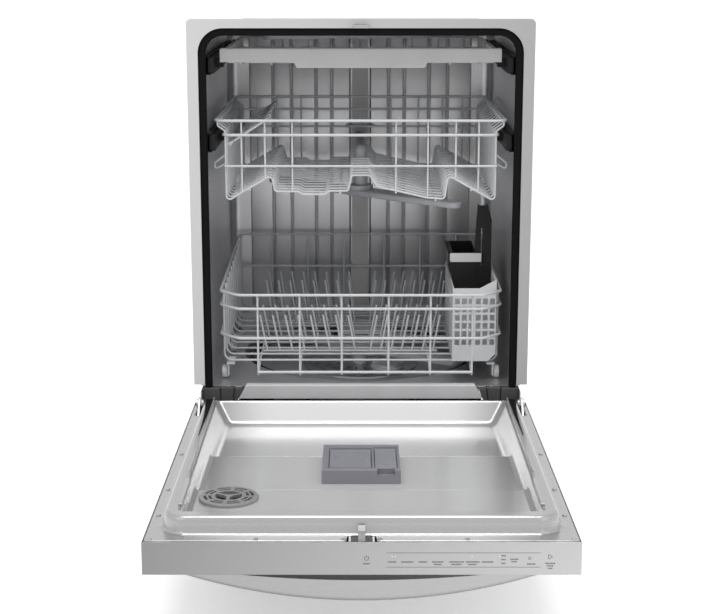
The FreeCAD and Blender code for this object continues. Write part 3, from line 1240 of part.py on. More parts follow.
def third_rack_front():
    """The plastic front of the third rack with a grip in the middle."""
    half = THIRD_PANEL_WIDTH / 2
    grip = THIRD_GRIP_WIDTH / 2
    low = THIRD_PANEL_BOTTOM_Z
    drop = THIRD_GRIP_BOTTOM_Z
    outline = [
        (-half, low), (-grip, low), (-grip + 5, drop), (grip - 5, drop), (grip, low), (half, low),
        (half, THIRD_PANEL_TOP_Z), (-half, THIRD_PANEL_TOP_Z),
    ]
    panel = prism(outline, "y", THIRD_FRONT_Y, THIRD_FRONT_Y + THIRD_PANEL_THICK)
    panel = panel.makeFillet(3.0, edges_where(panel, lambda b: b.ZMin > THIRD_PANEL_TOP_Z - 0.1))
    back = THIRD_FRONT_Y + THIRD_PANEL_THICK + 1
    return panel.cut(box(-grip + 8, grip - 8, THIRD_FRONT_Y + 3, back, drop - 1, low + 8))


def third_slides():
    """The third rack's slides, with posts that rise from the bars to its rim."""
    gap = THIRD_HALF_WIDTH + RACK_WIRE / 2 + 0.1
    bracket_ys = [THIRD_FRONT_Y + step for step in THIRD_BRACKET_STEPS]
    low, high = THIRD_RAIL_Z, THIRD_RIM_Z + 2
    posts = [both_sides(box(gap, gap + 4, y - 12, y + 12, low, high)) for y in bracket_ys]
    slides = slide_pair(THIRD_RAIL_Z, gap, bracket_ys)
    return joined(slides, *posts)


def door_strike():
    """The loop on the top of the frame that the door latch catches."""
    half = STRIKE_WIDTH / 2
    low = STRIKE_Z - STRIKE_THICK / 2
    plate = box(-half, half, -STRIKE_REACH, 0, low, low + STRIKE_THICK)
    window = box(-half + 4, half - 4, -STRIKE_REACH + 4, -2, low - 1, low + STRIKE_THICK + 1)
    return plate.cut(window)


def door_outer_panel():
    """The front skin of the door with returned sides and foot."""
    back = DOOR_FLANGE_Y - DOOR_SHEET
    top = DOOR_TOP_Z - PANEL_THICK
    skin = box(-DOOR_HALF, DOOR_HALF, DOOR_FACE_Y, back, DOOR_BOTTOM_Z, top)
    front = edges_where(skin, lambda b: b.YMax < DOOR_FACE_Y + 0.1 and b.ZMin < top - 1)
    skin = skin.makeFillet(3.0, front)
    inner = DOOR_HALF - DOOR_SHEET
    hollow = box(-inner, inner, DOOR_FACE_Y + DOOR_SHEET, back + 1, DOOR_BOTTOM_Z + DOOR_SHEET, top + 1)
    front = edges_where(hollow, lambda b: b.YMax < DOOR_FACE_Y + DOOR_SHEET + 0.1 and b.ZMin < top - 1)
    return swung_open(skin.cut(hollow.makeFillet(3.0 - DOOR_SHEET, front)))


def rim_block(inset, base):
    """The raised block of the door liner, shrunk by inset on every side but its base."""
    half = RIM_HALF - inset
    face = RIM_FACE_Y - inset
    block = arch(half, RIM_TOP_Z - inset, RIM_CORNER_R - inset, RIM_BOTTOM_Z + inset, base, face)
    return block.makeFillet(RIM_EDGE_R - inset, edges_where(block, lambda b: b.YMin > face - 0.1))


def liner_hollow(grow):
    """The stepped basin in the door liner, grown by the given amount."""
    one = DOOR_FLANGE_Y + FLOOR_ONE - grow
    two = DOOR_FLANGE_Y + FLOOR_TWO - grow
    three = DOOR_FLANGE_Y + FLOOR_THREE - grow
    low = BASIN_PAN_BOTTOM_Z - grow
    high = RIM_TOP_Z - RIM_BAR + grow
    top = RIM_FACE_Y + 20
    lift = BASIN_PAN_SLOPE * (top - RIM_FACE_Y) / (RIM_HEIGHT - FLOOR_ONE)
    outline = [
        (top, low - lift),
        (one, low + BASIN_PAN_SLOPE),
        (one, STEP_ONE_Z + grow),
        (two, STEP_ONE_Z + STEP_SLOPE + grow),
        (two, STEP_TWO_Z + grow),
        (three, STEP_TWO_Z + STEP_SLOPE + grow),
        (three, high - 6),
        (three + 6, high),
        (top, high),
    ]
    half = BASIN_PAN_HALF + grow
    return prism(outline, "x", -half, half)


def liner_flange():
    """The flat edge of the liner, with ways for the hinge arms and the latch."""
    base = DOOR_FLANGE_Y - DOOR_SHEET
    flange = box(-DOOR_HALF, DOOR_HALF, base, DOOR_FLANGE_Y, DOOR_BOTTOM_Z + 22, DOOR_TOP_Z - PANEL_THICK)
    low, high = base - 1, DOOR_FLANGE_Y + 1
    slot = box(arm_x() - 2, arm_x() + HINGE_ARM_THICK + 2, low, high, DOOR_BOTTOM_Z, HINGE_Z + 30)
    half = LATCH_SLOT_WIDTH / 2
    latch = box(-half, half, low, high, RIM_TOP_Z + 4, DOOR_TOP_Z)
    return flange.cut([slot, mirrored(slot), latch])


def door_guides():
    """The thin fins along both sides of the liner's rim, and the low guides that follow them."""
    foot = RIM_FACE_Y
    fin_outline = [
        (foot, RIM_BOTTOM_Z + 12), (foot + FIN_HEIGHT, RIM_BOTTOM_Z + 26),
        (foot + FIN_HEIGHT, FIN_TOP_Z - 6), (foot, FIN_TOP_Z),
    ]
    fin = prism(fin_outline, "x", FIN_X, FIN_X + FIN_THICK)
    guide = box(FIN_X - 4, FIN_X + 3, foot, foot + GUIDE_HEIGHT, FIN_TOP_Z + 8, GUIDE_TOP_Z)
    guide = guide.makeFillet(2.0, edges_where(guide, lambda b: b.YMin > foot + GUIDE_HEIGHT - 0.1))
    return swung_open(Part.makeCompound([fin, mirrored(fin), guide, mirrored(guide)]))


def dispenser_hole(shrink):
    """The way through the liner for the dispenser's lower half."""
    half = DISPENSER_WIDTH / 2 - DISPENSER_LIP - shrink
    low = DISPENSER_BOTTOM_Z + DISPENSER_LIP + shrink
    high = DISPENSER_TOP_Z - DISPENSER_LIP - shrink
    return box(-half, half, DISPENSER_FOOT_Y - DISPENSER_DEPTH, DISPENSER_FOOT_Y + 1, low, high)


def door_liner():
    """The polished inner door: a flange, a raised rim and a stepped basin, all in one thin sheet."""
    base = DOOR_FLANGE_Y - DOOR_SHEET
    half = BASIN_PAN_HALF + DOOR_SHEET
    deep = DOOR_FLANGE_Y + FLOOR_ONE - DOOR_SHEET
    well = box(-half, half, deep, base + 1, BASIN_PAN_BOTTOM_Z + 4, STEP_ONE_Z + DOOR_SHEET + STEP_SLOPE)
    outside = rim_block(0, base).fuse(well)
    inside = rim_block(DOOR_SHEET, deep - 5).cut(liner_hollow(DOOR_SHEET))
    flange = liner_flange().cut(rim_block(DOOR_SHEET, base - 20))
    shell = outside.cut(liner_hollow(0)).cut(inside)
    liner = joined(shell, flange)
    vent = cylinder((VENT_X, DOOR_FLANGE_Y - 20, VENT_Z), Y_AXIS, VENT_R - 9, 40)
    return swung_open(liner.cut([dispenser_hole(0), vent]))


def control_panel():
    """The strip along the top of the door, with a skirt behind the skin."""
    low = DOOR_TOP_Z - PANEL_THICK
    strip = box(-DOOR_HALF, DOOR_HALF, DOOR_FACE_Y, DOOR_FLANGE_Y, low, DOOR_TOP_Z)
    strip = strip.makeFillet(1.2, edges_where(strip, lambda b: b.ZMin > DOOR_TOP_Z - 0.1))
    face = DOOR_FACE_Y + DOOR_SHEET
    skirt = box(-DOOR_HALF + 12, DOOR_HALF - 12, face, face + 2, low - 24, low)
    return swung_open(joined(strip, skirt))


def handle_bar():
    """The bowed bar across the top of the door, drawn as a crescent and rounded along its edges."""

    def bow(span, reach, z):
        ends = [Vector(s * span / 2, DOOR_FACE_Y, z) for s in (-1, 1)]
        return Part.Arc(ends[0], Vector(0, DOOR_FACE_Y - reach, z), ends[1]).toShape(), ends

    low = HANDLE_Z - HANDLE_TALL / 2
    outer, outer_ends = bow(HANDLE_SPAN, HANDLE_REACH, low)
    inner, inner_ends = bow(HANDLE_INNER_SPAN, HANDLE_GAP, low)
    feet = [Part.LineSegment(a, b).toShape() for a, b in zip(outer_ends, inner_ends)]
    crescent = Part.Face(Part.Wire([outer, feet[1], inner, feet[0]]))
    bar = crescent.extrude(Vector(0, 0, HANDLE_TALL))

    def outer_edges(b):
        return b.ZLength < 0.1 and b.YMin < DOOR_FACE_Y - HANDLE_REACH + 1

    return swung_open(bar.makeFillet(HANDLE_ROUND, edges_where(bar, outer_edges)))


def lid_pocket(left, width, low, tall, depth):
    return box(left, left + width, DISPENSER_FACE_Y - depth, DISPENSER_FACE_Y + 1, low, low + tall)


def dispenser_body():
    """The dispenser: a plastic block on the liner with a detergent cup and a rinse-aid well."""
    half = DISPENSER_WIDTH / 2
    block = box(-half, half, DISPENSER_FOOT_Y, DISPENSER_FACE_Y, DISPENSER_BOTTOM_Z, DISPENSER_TOP_Z)
    block = block.makeFillet(2.5, edges_where(block, lambda b: b.YMin > DISPENSER_FACE_Y - 0.1))
    block = joined(block, dispenser_hole(0.3))
    gap = 0.6
    seat = LID_THICK + 0.6
    for left, width, low, tall in DISPENSER_LIDS:
        block = block.cut(lid_pocket(left - gap, width + 2 * gap, low - 6, tall + 6 + gap, seat))
        block = block.cut(lid_pocket(left + 5, width - 10, low + 8, tall - 14, 30))
        axis = (left - gap, DISPENSER_FACE_Y - LID_THICK / 2, low)
        block = block.cut(cylinder(axis, X_AXIS, LID_PIN_R + LID_KNUCKLE + gap, width + 2 * gap))
    left, width, low, tall = DISPENSER_LIDS[1]
    inset = CAP_NOTCH_INSET
    room = DISPENSER_TOP_Z - low - tall + 1
    block = block.cut(lid_pocket(left + inset, width - 2 * inset, low + tall, room, CAP_NOTCH_DEPTH))
    return swung_open(joined(block, *lid_pins()))


def lid_pins():
    """The two hinge rods that the lids of the dispenser turn on."""
    y = DISPENSER_FACE_Y - LID_THICK / 2
    rods = []
    for left, width, low, tall in DISPENSER_LIDS:
        rods.append(cylinder((left - 2, y, low), X_AXIS, LID_PIN_R, width + 4))
    return rods


def dispenser_lid(left, width, low, tall):
    """A lid flush with the dispenser's face, with a knuckle round its hinge rod."""
    y = DISPENSER_FACE_Y - LID_THICK
    plate = box(left, left + width, y, DISPENSER_FACE_Y, low, low + tall)
    knuckle = cylinder((left, y + LID_THICK / 2, low), X_AXIS, LID_PIN_R + LID_KNUCKLE, width)
    bore = cylinder((left - 1, y + LID_THICK / 2, low), X_AXIS, LID_PIN_R + RUNNING_GAP, width + 2)
    return joined(plate, knuckle).cut(bore)


def detergent_lid():
    """The detergent lid, with a shallow finger recess."""
    lid = dispenser_lid(*DISPENSER_LIDS[0])
    middle = DETERGENT_LID_LOW_Z + DETERGENT_LID_TALL / 2
    recess = box(DETERGENT_LID_LEFT_X + 10, DETERGENT_LID_LEFT_X + DETERGENT_LID_WIDTH - 10,
                 DISPENSER_FACE_Y - 1.5, DISPENSER_FACE_Y + 1, middle - 10, middle + 6)
    return swung_open(lid.cut(recess))


def rinse_cap():
    """The flip cap over the rinse-aid well."""
    return swung_open(dispenser_lid(*DISPENSER_LIDS[1]))


def vent_cover():
    """The round cover of the door vent: an eye with three spokes inside two rings of slots."""
    foot_y = DOOR_FLANGE_Y + FLOOR_THREE
    disc = cylinder((VENT_X, foot_y, VENT_Z), Y_AXIS, VENT_R, VENT_THICK)
    disc = disc.makeFillet(2.5, edges_where(disc, lambda b: b.YMin > foot_y + VENT_THICK - 0.1))
    low = Vector(VENT_X, foot_y - 1, VENT_Z)
    tall = VENT_THICK + 2
    eye = Part.makeCylinder(VENT_EYE_R, tall, low, Y_AXIS)
    eye = eye.cut(Part.makeCylinder(VENT_HUB_R, tall, low, Y_AXIS))
    cuts = []
    for k in range(3):
        spoke = box(-VENT_SPOKE / 2, VENT_SPOKE / 2, 0, tall, 0, VENT_EYE_R)
        spoke.translate(low)
        spoke.rotate(low, Y_AXIS, 120 * k)
        eye = eye.cut(spoke)
    for radius in VENT_SLOT_RADII:
        for k in range(VENT_SLOT_COUNT):
            sector = Part.makeCylinder(radius + VENT_SLOT_WIDTH, tall, low, Y_AXIS, VENT_SLOT_DEG)
            slot = sector.cut(Part.makeCylinder(radius, tall, low, Y_AXIS))
            slot.rotate(low, Y_AXIS, 360 * k / VENT_SLOT_COUNT)
            cuts.append(slot)
    return swung_open(disc.cut(cuts).cut(eye))


def latch_case():
    """The latch housing behind the flange, with the pivot of the latch hook."""
    half = LATCH_SLOT_WIDTH / 2 - 2
    back = DOOR_FLANGE_Y - DOOR_SHEET
    low = LATCH_PIVOT_Z - 12
    cheeks = []
    for s in (-1, 1):
        xs = sorted((s * half, s * (half - 3)))
        cheeks.append(box(xs[0], xs[1], LATCH_PIVOT_Y - 8, back, low, DOOR_TOP_Z - PANEL_THICK - 1))
    floor = box(-half, half, LATCH_PIVOT_Y - 8, back, low - 3, low)
    pivot = cylinder((-half, LATCH_PIVOT_Y, LATCH_PIVOT_Z), X_AXIS, LATCH_PIN_R, 2 * half)
    return swung_open(joined(floor, pivot, *cheeks))


def latch_hook():
    """The hook that catches the strike, lowered as it is while the door stands open."""
    nose_back = DOOR_FLANGE_Y + 16
    catch = STRIKE_Z + 2
    outline = [
        (LATCH_PIVOT_Y - 6, LATCH_PIVOT_Z - 5), (nose_back, LATCH_PIVOT_Z - 2), (nose_back, catch),
        (nose_back - 7, catch), (nose_back - 8, LATCH_PIVOT_Z + 5), (LATCH_PIVOT_Y - 6, LATCH_PIVOT_Z + 5),
    ]
    hook = prism(outline, "x", -5, 5)
    hook = hook.cut(cylinder((-6, LATCH_PIVOT_Y, LATCH_PIVOT_Z), X_AXIS, LATCH_PIN_R + RUNNING_GAP, 12))
    hook.rotate(Vector(0, LATCH_PIVOT_Y, LATCH_PIVOT_Z), X_AXIS, -LATCH_OPEN_DEG)
    return swung_open(hook)


def arm_x():
    return SIDE_FRAME_X + SHEET + 1.5


def hinge_arms():
    """The steel arms inside the door that turn on the hinge pins."""
    inner = DOOR_FACE_Y + DOOR_SHEET
    back = DOOR_FLANGE_Y - DOOR_SHEET
    outline = [
        (inner + 2, HINGE_Z - 30),
        (back, HINGE_Z - 30),
        (HINGE_Y, HINGE_Z - 12),
        (HINGE_Y + 10, HINGE_Z - 6),
        (HINGE_Y + 10, HINGE_Z + 6),
        (HINGE_Y, HINGE_Z + 14),
        (back, HINGE_Z + 29),
        (back, HINGE_ARM_TOP_Z),
        (inner, HINGE_ARM_TOP_Z),
        (inner, HINGE_Z - 26),
    ]
    arm = prism(outline, "x", arm_x(), arm_x() + HINGE_ARM_THICK)
    bore = cylinder((arm_x() - 1, HINGE_Y, HINGE_Z), X_AXIS, HINGE_PIN_R + RUNNING_GAP, HINGE_ARM_THICK + 2)
    return swung_open(both_sides(arm.cut(bore)))


def door_screws():
    """The small screws round the flange of the liner."""
    heights = (*DOOR_SCREW_ZS, DOOR_SCREW_TOP_Z)
    places = [(s * DOOR_SCREW_X, z) for s in (-1, 1) for z in heights]
    places += [(s * x, DOOR_SCREW_TOP_Z) for s in (-1, 1) for x in DOOR_SCREW_TOP_XS]
    heads = []
    for x, z in places:
        head = cylinder((x, DOOR_FLANGE_Y, z), Y_AXIS, DOOR_SCREW_R, DOOR_SCREW_TALL)
        heads.append(head.makeFillet(0.8, edges_where(head, lambda b: b.YMin > DOOR_FLANGE_Y + 1)))
    return swung_open(Part.makeCompound(heads))


PIECES = {
    "tub_wrapper": tub_wrapper,
    "tub_back": tub_back,
    "tub_floor": tub_floor,
    "front_frame": front_frame,
    "front_sill": front_sill,
    "door_gasket": door_gasket,
    "sound_mats": sound_mats,
    "side_frames": side_frames,
    "hinge_pins": hinge_pins,
    "base_pan": base_pan,
    "toe_kick": toe_kick,
    "foot_front_left": lambda: foot(-FOOT_X, FOOT_FRONT_Y),
    "foot_front_right": lambda: foot(FOOT_X, FOOT_FRONT_Y),
    "foot_back_left": lambda: foot(-FOOT_X, FOOT_BACK_Y),
    "foot_back_right": lambda: foot(FOOT_X, FOOT_BACK_Y),
    "sump": sump,
    "circulation_pump": circulation_pump,
    "delivery_pipe": delivery_pipe,
    "drain_pump": drain_pump,
    "inlet_valve": inlet_valve,
    "junction_box": junction_box,
    "heater_element": heater_element,
    "heater_clips": heater_clips,
    "filter_plate": filter_plate,
    "filter_cup": filter_cup,
    "lower_spray_arm": lower_spray_arm,
    "middle_spray_arm": middle_spray_arm,
    "top_spray_arm": top_spray_arm,
    "supply_duct": supply_duct,
    "upper_rails": lambda: rail_pair(UPPER_RAIL_Z),
    "third_rails": lambda: rail_pair(THIRD_RAIL_Z),
    "upper_rack_wires": upper_rack_wires,
    "upper_slides": upper_slides,
    "cup_shelf": cup_shelf,
    "feed_tube": feed_tube,
    "lower_rack_frame": lower_rack_frame,
    "lower_rack_tines": lower_rack_tines,
    "wheel_carriers": wheel_carriers,
    "wheels_front": lambda: wheel_pair(WHEEL_YS[0]),
    "wheels_middle": lambda: wheel_pair(WHEEL_YS[1]),
    "wheels_back": lambda: wheel_pair(WHEEL_YS[2]),
    "cutlery_basket": cutlery_basket,
    "cutlery_grip": cutlery_grip,
    "third_rack_tray": third_rack_tray,
    "third_rack_front": third_rack_front,
    "third_slides": third_slides,
    "door_strike": door_strike,
    "door_outer_panel": door_outer_panel,
    "door_liner": door_liner,
    "door_guides": door_guides,
    "control_panel": control_panel,
    "handle_bar": handle_bar,
    "dispenser_body": dispenser_body,
    "detergent_lid": detergent_lid,
    "rinse_cap": rinse_cap,
    "vent_cover": vent_cover,
    "latch_case": latch_case,
    "latch_hook": latch_hook,
    "hinge_arms": hinge_arms,
    "door_screws": door_screws,
}


def main():
    os.makedirs("parts", exist_ok=True)
    for name, make in PIECES.items():
        shape = make()
        shape.translate(Vector(0, Y_SHIFT, 0))
        shape.exportStep("parts/" + name + ".step")


if __name__ == "__main__":
    main()
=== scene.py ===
import json
import math

import bpy
import numpy as np
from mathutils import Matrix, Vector


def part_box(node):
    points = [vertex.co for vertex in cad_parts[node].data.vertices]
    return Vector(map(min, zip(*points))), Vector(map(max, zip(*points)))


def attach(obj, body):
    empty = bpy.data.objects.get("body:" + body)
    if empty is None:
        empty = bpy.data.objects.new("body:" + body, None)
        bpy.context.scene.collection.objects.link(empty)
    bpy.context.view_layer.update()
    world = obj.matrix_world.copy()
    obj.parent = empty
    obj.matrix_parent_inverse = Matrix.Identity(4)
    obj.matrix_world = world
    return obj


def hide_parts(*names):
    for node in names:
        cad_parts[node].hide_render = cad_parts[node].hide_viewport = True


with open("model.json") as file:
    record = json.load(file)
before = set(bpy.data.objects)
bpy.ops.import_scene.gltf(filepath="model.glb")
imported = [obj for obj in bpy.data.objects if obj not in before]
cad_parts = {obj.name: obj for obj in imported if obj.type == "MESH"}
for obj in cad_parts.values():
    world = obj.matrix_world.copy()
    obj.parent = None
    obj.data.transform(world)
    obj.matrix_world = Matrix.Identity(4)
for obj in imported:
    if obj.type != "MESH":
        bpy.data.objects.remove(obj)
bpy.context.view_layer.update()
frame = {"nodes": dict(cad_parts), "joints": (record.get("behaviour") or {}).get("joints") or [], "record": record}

NODES = frame["nodes"]
JOINTS = {joint["name"]: joint for joint in frame["joints"]}
MM = 0.001

# The photograph's width and the camera's focal length in pixels, and its place in metres and degrees
PHOTO_WIDTH = 714
CAMERA_FOCAL = 1564.7
CAMERA_X = -0.0065
CAMERA_AHEAD = 2.706
CAMERA_HEIGHT = 0.9791
CAMERA_PITCH = 12.95
CAMERA_REACH = 200.0
SENSOR = 36.0

# The lamps: place, point aimed at and size in metres, and power in watts
LAMPS = {
    "key": ((-2.4, -3.2, 2.8), (0, 0.1, 0.5), (2.6, 2.2), 12),
    "fill": ((2.6, -3.0, 2.0), (0, 0.1, 0.5), (2.4, 2.4), 6),
    "top": ((0, -0.55, 2.8), (0, -0.55, 0.2), (2.0, 1.2), 31),
}
WORLD_LIGHT = 0.8
FLOOR_HALF = 60.0
FLOOR_GLOW = 0.35

# The door as it is when shut, in millimetres from the face of the front frame
DOOR_HALF = 303.0
DOOR_TOP_Z = 857.0
FLANGE_Y = -25.5
FLANGE_LOW_Z = 140.0
PANEL_THICK = 4.0
LINER_SHEET = 0.8
RIM_HALF = 280.0
RIM_LOW_Z = 192.0
RIM_HIGH_Z = 823.0
RIM_HEIGHT = 25.0
RIM_EDGE = 8.0
RIM_WALL_RUN = 1.0
RIM_CORNER = 34.0
RIM_FAR_CORNER = 8.0
BASIN_HALF = 257.0
BASIN_LOW_Z = 200.0
BASIN_HIGH_Z = 797.0
SIDE_SLOPE = 1.6
FAR_SLOPE = 1.42
FRONT_SLOPE = 2.2
BASIN_ROUND = 16.0
BASIN_FILLET = 7.0
BRIM_FILLET = 3.0
FLOOR_HEIGHTS = (-12.0, 2.0, 10.0)
STEP_ZS = (455.0, 650.0)
STEP_LONG = 7.0

# Openings of the liner: half-widths and end of the hinge slots, half-width and start of the latch slot,
# half-width and ends of the dispenser's opening, and the middle and radius of the vent's
HINGE_SLOT = (283.0, 292.0, 212.0)
LATCH_SLOT = (20.0, 827.0)
DISPENSER_WAY = (55.0, 478.0, 600.0)
VENT_PLACE = (-195.0, 699.0, 38.0)

# Where the painted shade on the liner starts, darkening its colour toward its sides
PAINTED_SIDE_SHADE_START = 150.0

# The liner's mesh: its steps where it bends and where it is flat, and how far the bends reach
FINE_STEP = 1.0
COARSE_STEP = 6.0
SIDE_WALL_RUN = 34.0
FAR_WALL_RUN = 40.0
FRONT_WALL_RUN = 27.0
WAY_MARGIN = 5.0
BEFORE_STEP = 2.0
AFTER_STEP = 1.0

# The dispenser's two lids: left edge, width, far edge and length, in the plane of the shut door
DETERGENT_LID = (-50.0, 66.0, 500.0, 98.0)
RINSE_CAP = (20.5, 35.0, 495.0, 100.0)
DISPENSER_FACE = 25.0
LID_THICK = 3.0
LID_ROUND = 2.4
LID_DEEPEST = 2.7
LID_MESH = 1.1

# The relief of the lids: areas as shares of the width and the length, and depths in millimetres
DETERGENT_FIELD = (0.05, 0.95, 0.03, 0.92)
DETERGENT_FIELD_DEPTH = 0.4
DETERGENT_GROOVE = (0.11, 0.89, 0.14, 0.20)
DETERGENT_SCOOP = (0.14, 0.86, 0.33, 0.60)
DETERGENT_SCOOP_DEPTH = 2.2
DETERGENT_LIP_START = 0.95
DETERGENT_LIP_DEPTH = 2.6
RINSE_FIELD = (0.10, 0.90, 0.04, 0.90)
RINSE_FIELD_DEPTH = 0.5
RINSE_VENTS = (0.43, 0.57)
RINSE_VENT_ALONG = 0.86
RINSE_VENT_HALF = (0.05, 0.03)
RINSE_VENT_DEPTH = 2.4

# The pressed panels of the tub's back wall, between its grooves, and the rise of their edges
BACK_WALL_Y = 540.0
BACK_PANEL_PROUD = 5.0
BACK_PANEL_SUNK = 0.5
BACK_PANEL_LOW_Z = 224.0
BACK_PANEL_HIGH_Z = 812.0
BACK_PANEL_END = 12.0
BACK_PANEL_EDGE = ((0.0, 0.0), (2.6, 0.86), (3.2, 0.97), (4.0, 1.0))
BACK_PANEL_SPANS = ((19.0, 58.4), (59.2, 90.8), (91.6, 141.6), (142.4, 179.6), (180.4, 229.0))

# The dark corner blocks beside the sill: inner and outer half-widths at foot and head, and the front face
BOOT_BLOCKS = (((253.0, 253.0), (283.8, 283.8), 2.0), ((231.0, 227.0), (251.5, 251.5), 5.0),
               ((225.7, 211.4), (229.5, 225.5), 3.0), ((225.7, 211.4), (283.8, 283.8), 8.0))
BOOT_LOW_Z = 174.0
BOOT_HIGH_Z = 206.9
BOOT_BACK_Y = 13.0
BOOT_BEVEL = 1.2

# The dark wedges outside the door's side fins: distance along the door, inner and outer half-width
WEDGE_ROWS = ((197.0, 261.5, 275.0), (225.0, 262.2, 274.0), (260.0, 263.0, 271.5), (305.0, 264.0, 269.0),
              (350.0, 265.0, 267.8), (420.0, 266.2, 267.0))
WEDGE_PROUD = 1.5
WEDGE_SUNK = 0.6
WEDGE_SLANT = 0.2

# The light band across the front of the cutlery hopper: left, right, low and high edges
HOPPER_BAND = (165.0, 223.0, 412.5, 429.0)
HOPPER_FRONT_Y = 130.0
HOPPER_BAND_THICK = 1.6
HOPPER_BAND_CUT = 2.0
HOPPER_BAND_BEVEL = 0.6

# The control strip's marks: a power sign, a reset ring, a start sign, lamps and two thin lines
STRIP_FACE_Z = DOOR_TOP_Z
MARK_PROUD = 0.06
SIGN_Y = -48.0
POWER_X = 6.5
POWER_RING = (2.6, 3.4)
POWER_ARC = (120, 420)
POWER_STEM_HALF = 0.4
POWER_STEM = (0.8, 4.0)
RESET_X = 231.0
RESET_RING = (1.5, 2.2)
START_X = 259.0
START_UP = 2.0
START_CORNERS = ((-2.2, -3.4), (3.4, 0.0), (-2.2, 3.4))
START_LINE_HALF = 0.35
LAMP_XS = (42.0, 46.5, 152.0, 190.0)
LAMP_Y = -45.5
LAMP_HALF = (1.0, 0.8)
RULE_YS = (-40.3, -61.0)
RULE_SPAN = (34.0, 246.0)
RULE_HALF = 0.3

# The labels: middle, height on the strip, width and number of rows, and the strokes that fill them
KEY_Y = -53.5
LABELS = ((POWER_X, -56.0, 9.0, 1), (42.0, KEY_Y, 11.0, 1), (62.5, KEY_Y, 16.0, 1), (84.5, KEY_Y, 12.0, 1),
          (104.5, KEY_Y, 15.0, 2), (130.0, KEY_Y, 19.0, 2), (152.0, KEY_Y, 17.0, 2), (173.0, KEY_Y, 15.0, 1),
          (195.0, -44.5, 6.0, 1), (195.0, -50.0, 6.0, 1), (195.0, -55.5, 6.0, 1), (209.5, -49.5, 10.0, 2),
          (233.0, -56.5, 11.0, 1), (START_X, -55.5, 13.0, 3))
LABEL_STROKES = (1.1, 0.7, 1.4)
LABEL_GAP = 0.5
LABEL_ROW_PITCH = 3.6
LABEL_ROW_LOSS = 0.3
LABEL_HALF = 1.0

# Nodes with a shade of their own within their finish
OWN_FINISH = {"vent_cover": "vent_plastic", "door_strike": "screw_steel"}

# The stretch of a noise that carries most of its values, and the sockets of a colour mix
NOISE_SPAN = (0.3, 0.7)
MIX_FACTOR = 0
MIX_FIRST = 6
MIX_SECOND = 7
MIX_RESULT = 2

# Depths of the surface grain and the reach of the weld, in metres, and the bends that stay sharp, in degrees
STEEL_GRAIN = 0.0001
PLASTIC_GRAIN = 0.0002
PLASTIC_UNEVEN = 0.05
WELD_REACH = 0.00001
NODE_SHARP = 28
LID_SHARP = 35
PANEL_SHARP = 40

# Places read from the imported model
FRAME_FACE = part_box("front_frame")[0].y
HINGE = Vector(JOINTS["door_hinge"]["pos_m"])
OPEN_ANGLE = math.radians(JOINTS["door_hinge"]["range_deg"][1])


def row_point(x, y, z):
    """A place of the cabinet in millimetres, as a point of the row frame in metres."""
    return Vector((x * MM, y * MM + FRAME_FACE, z * MM))


def door_point(x, y, z):
    """A place of the shut door in millimetres, where it is with the door open."""
    point = row_point(x, y, z) - HINGE
    cos = math.cos(OPEN_ANGLE)
    sin = math.sin(OPEN_ANGLE)
    return HINGE + Vector((point.x, point.y * cos - point.z * sin, point.y * sin + point.z * cos))


# Materials

def new_material(color, rough, metal=0.0):
    """A material with its node tree and its main shader."""
    material = bpy.data.materials.new("finish")
    material.use_nodes = True
    tree = material.node_tree
    shader = tree.nodes["Principled BSDF"]
    shader.inputs["Base Color"].default_value = (*color, 1.0)
    shader.inputs["Roughness"].default_value = rough
    shader.inputs["Metallic"].default_value = metal
    return material, tree, shader


def noise(tree, scale, stretch=(1.0, 1.0, 1.0), detail=3.0):
    """A noise over the object's own place, finer along an axis where stretch is larger."""
    place = tree.nodes.new("ShaderNodeTexCoord")
    mapping = tree.nodes.new("ShaderNodeMapping")
    mapping.inputs["Scale"].default_value = stretch
    texture = tree.nodes.new("ShaderNodeTexNoise")
    texture.inputs["Scale"].default_value = scale
    texture.inputs["Detail"].default_value = detail
    tree.links.new(place.outputs["Object"], mapping.inputs["Vector"])
    tree.links.new(mapping.outputs["Vector"], texture.inputs["Vector"])
    return texture.outputs["Fac"]


def spread(tree, value, low, high):
    """Turns the middle of a noise into a range."""
    node = tree.nodes.new("ShaderNodeMapRange")
    node.inputs["From Min"].default_value = NOISE_SPAN[0]
    node.inputs["From Max"].default_value = NOISE_SPAN[1]
    node.inputs["To Min"].default_value = low
    node.inputs["To Max"].default_value = high
    tree.links.new(value, node.inputs["Value"])
    return node.outputs["Result"]


def tint(tree, shader, value, first, second):
    """The base colour, going from the first colour to the second with the value."""
    mix = tree.nodes.new("ShaderNodeMix")
    mix.data_type = "RGBA"
    mix.inputs[MIX_FIRST].default_value = (*first, 1.0)
    mix.inputs[MIX_SECOND].default_value = (*second, 1.0)
    tree.links.new(value, mix.inputs[MIX_FACTOR])
    tree.links.new(mix.outputs[MIX_RESULT], shader.inputs["Base Color"])


def raise_grain(tree, shader, value, strength, depth):
    """A fine grain on the surface."""
    bump = tree.nodes.new("ShaderNodeBump")
    bump.inputs["Strength"].default_value = strength
    bump.inputs["Distance"].default_value = depth
    tree.links.new(value, bump.inputs["Height"])
    tree.links.new(bump.outputs["Normal"], shader.inputs["Normal"])


def scaled(color, share):
    """A lighter or darker shade of a colour."""
    return tuple(min(1.0, channel * share) for channel in color)


def place_across(tree):
    """The place from left to right, in metres from the middle."""
    place = tree.nodes.new("ShaderNodeTexCoord")
    split = tree.nodes.new("ShaderNodeSeparateXYZ")
    tree.links.new(place.outputs["Object"], split.inputs["Vector"])
    return split.outputs["X"]


def across_width(tree):
    """From nothing at the left edge of the door to one at its right edge."""
    share = tree.nodes.new("ShaderNodeMapRange")
    share.inputs["From Min"].default_value = -DOOR_HALF * MM
    share.inputs["From Max"].default_value = DOOR_HALF * MM
    tree.links.new(place_across(tree), share.inputs["Value"])
    return share.outputs["Result"]


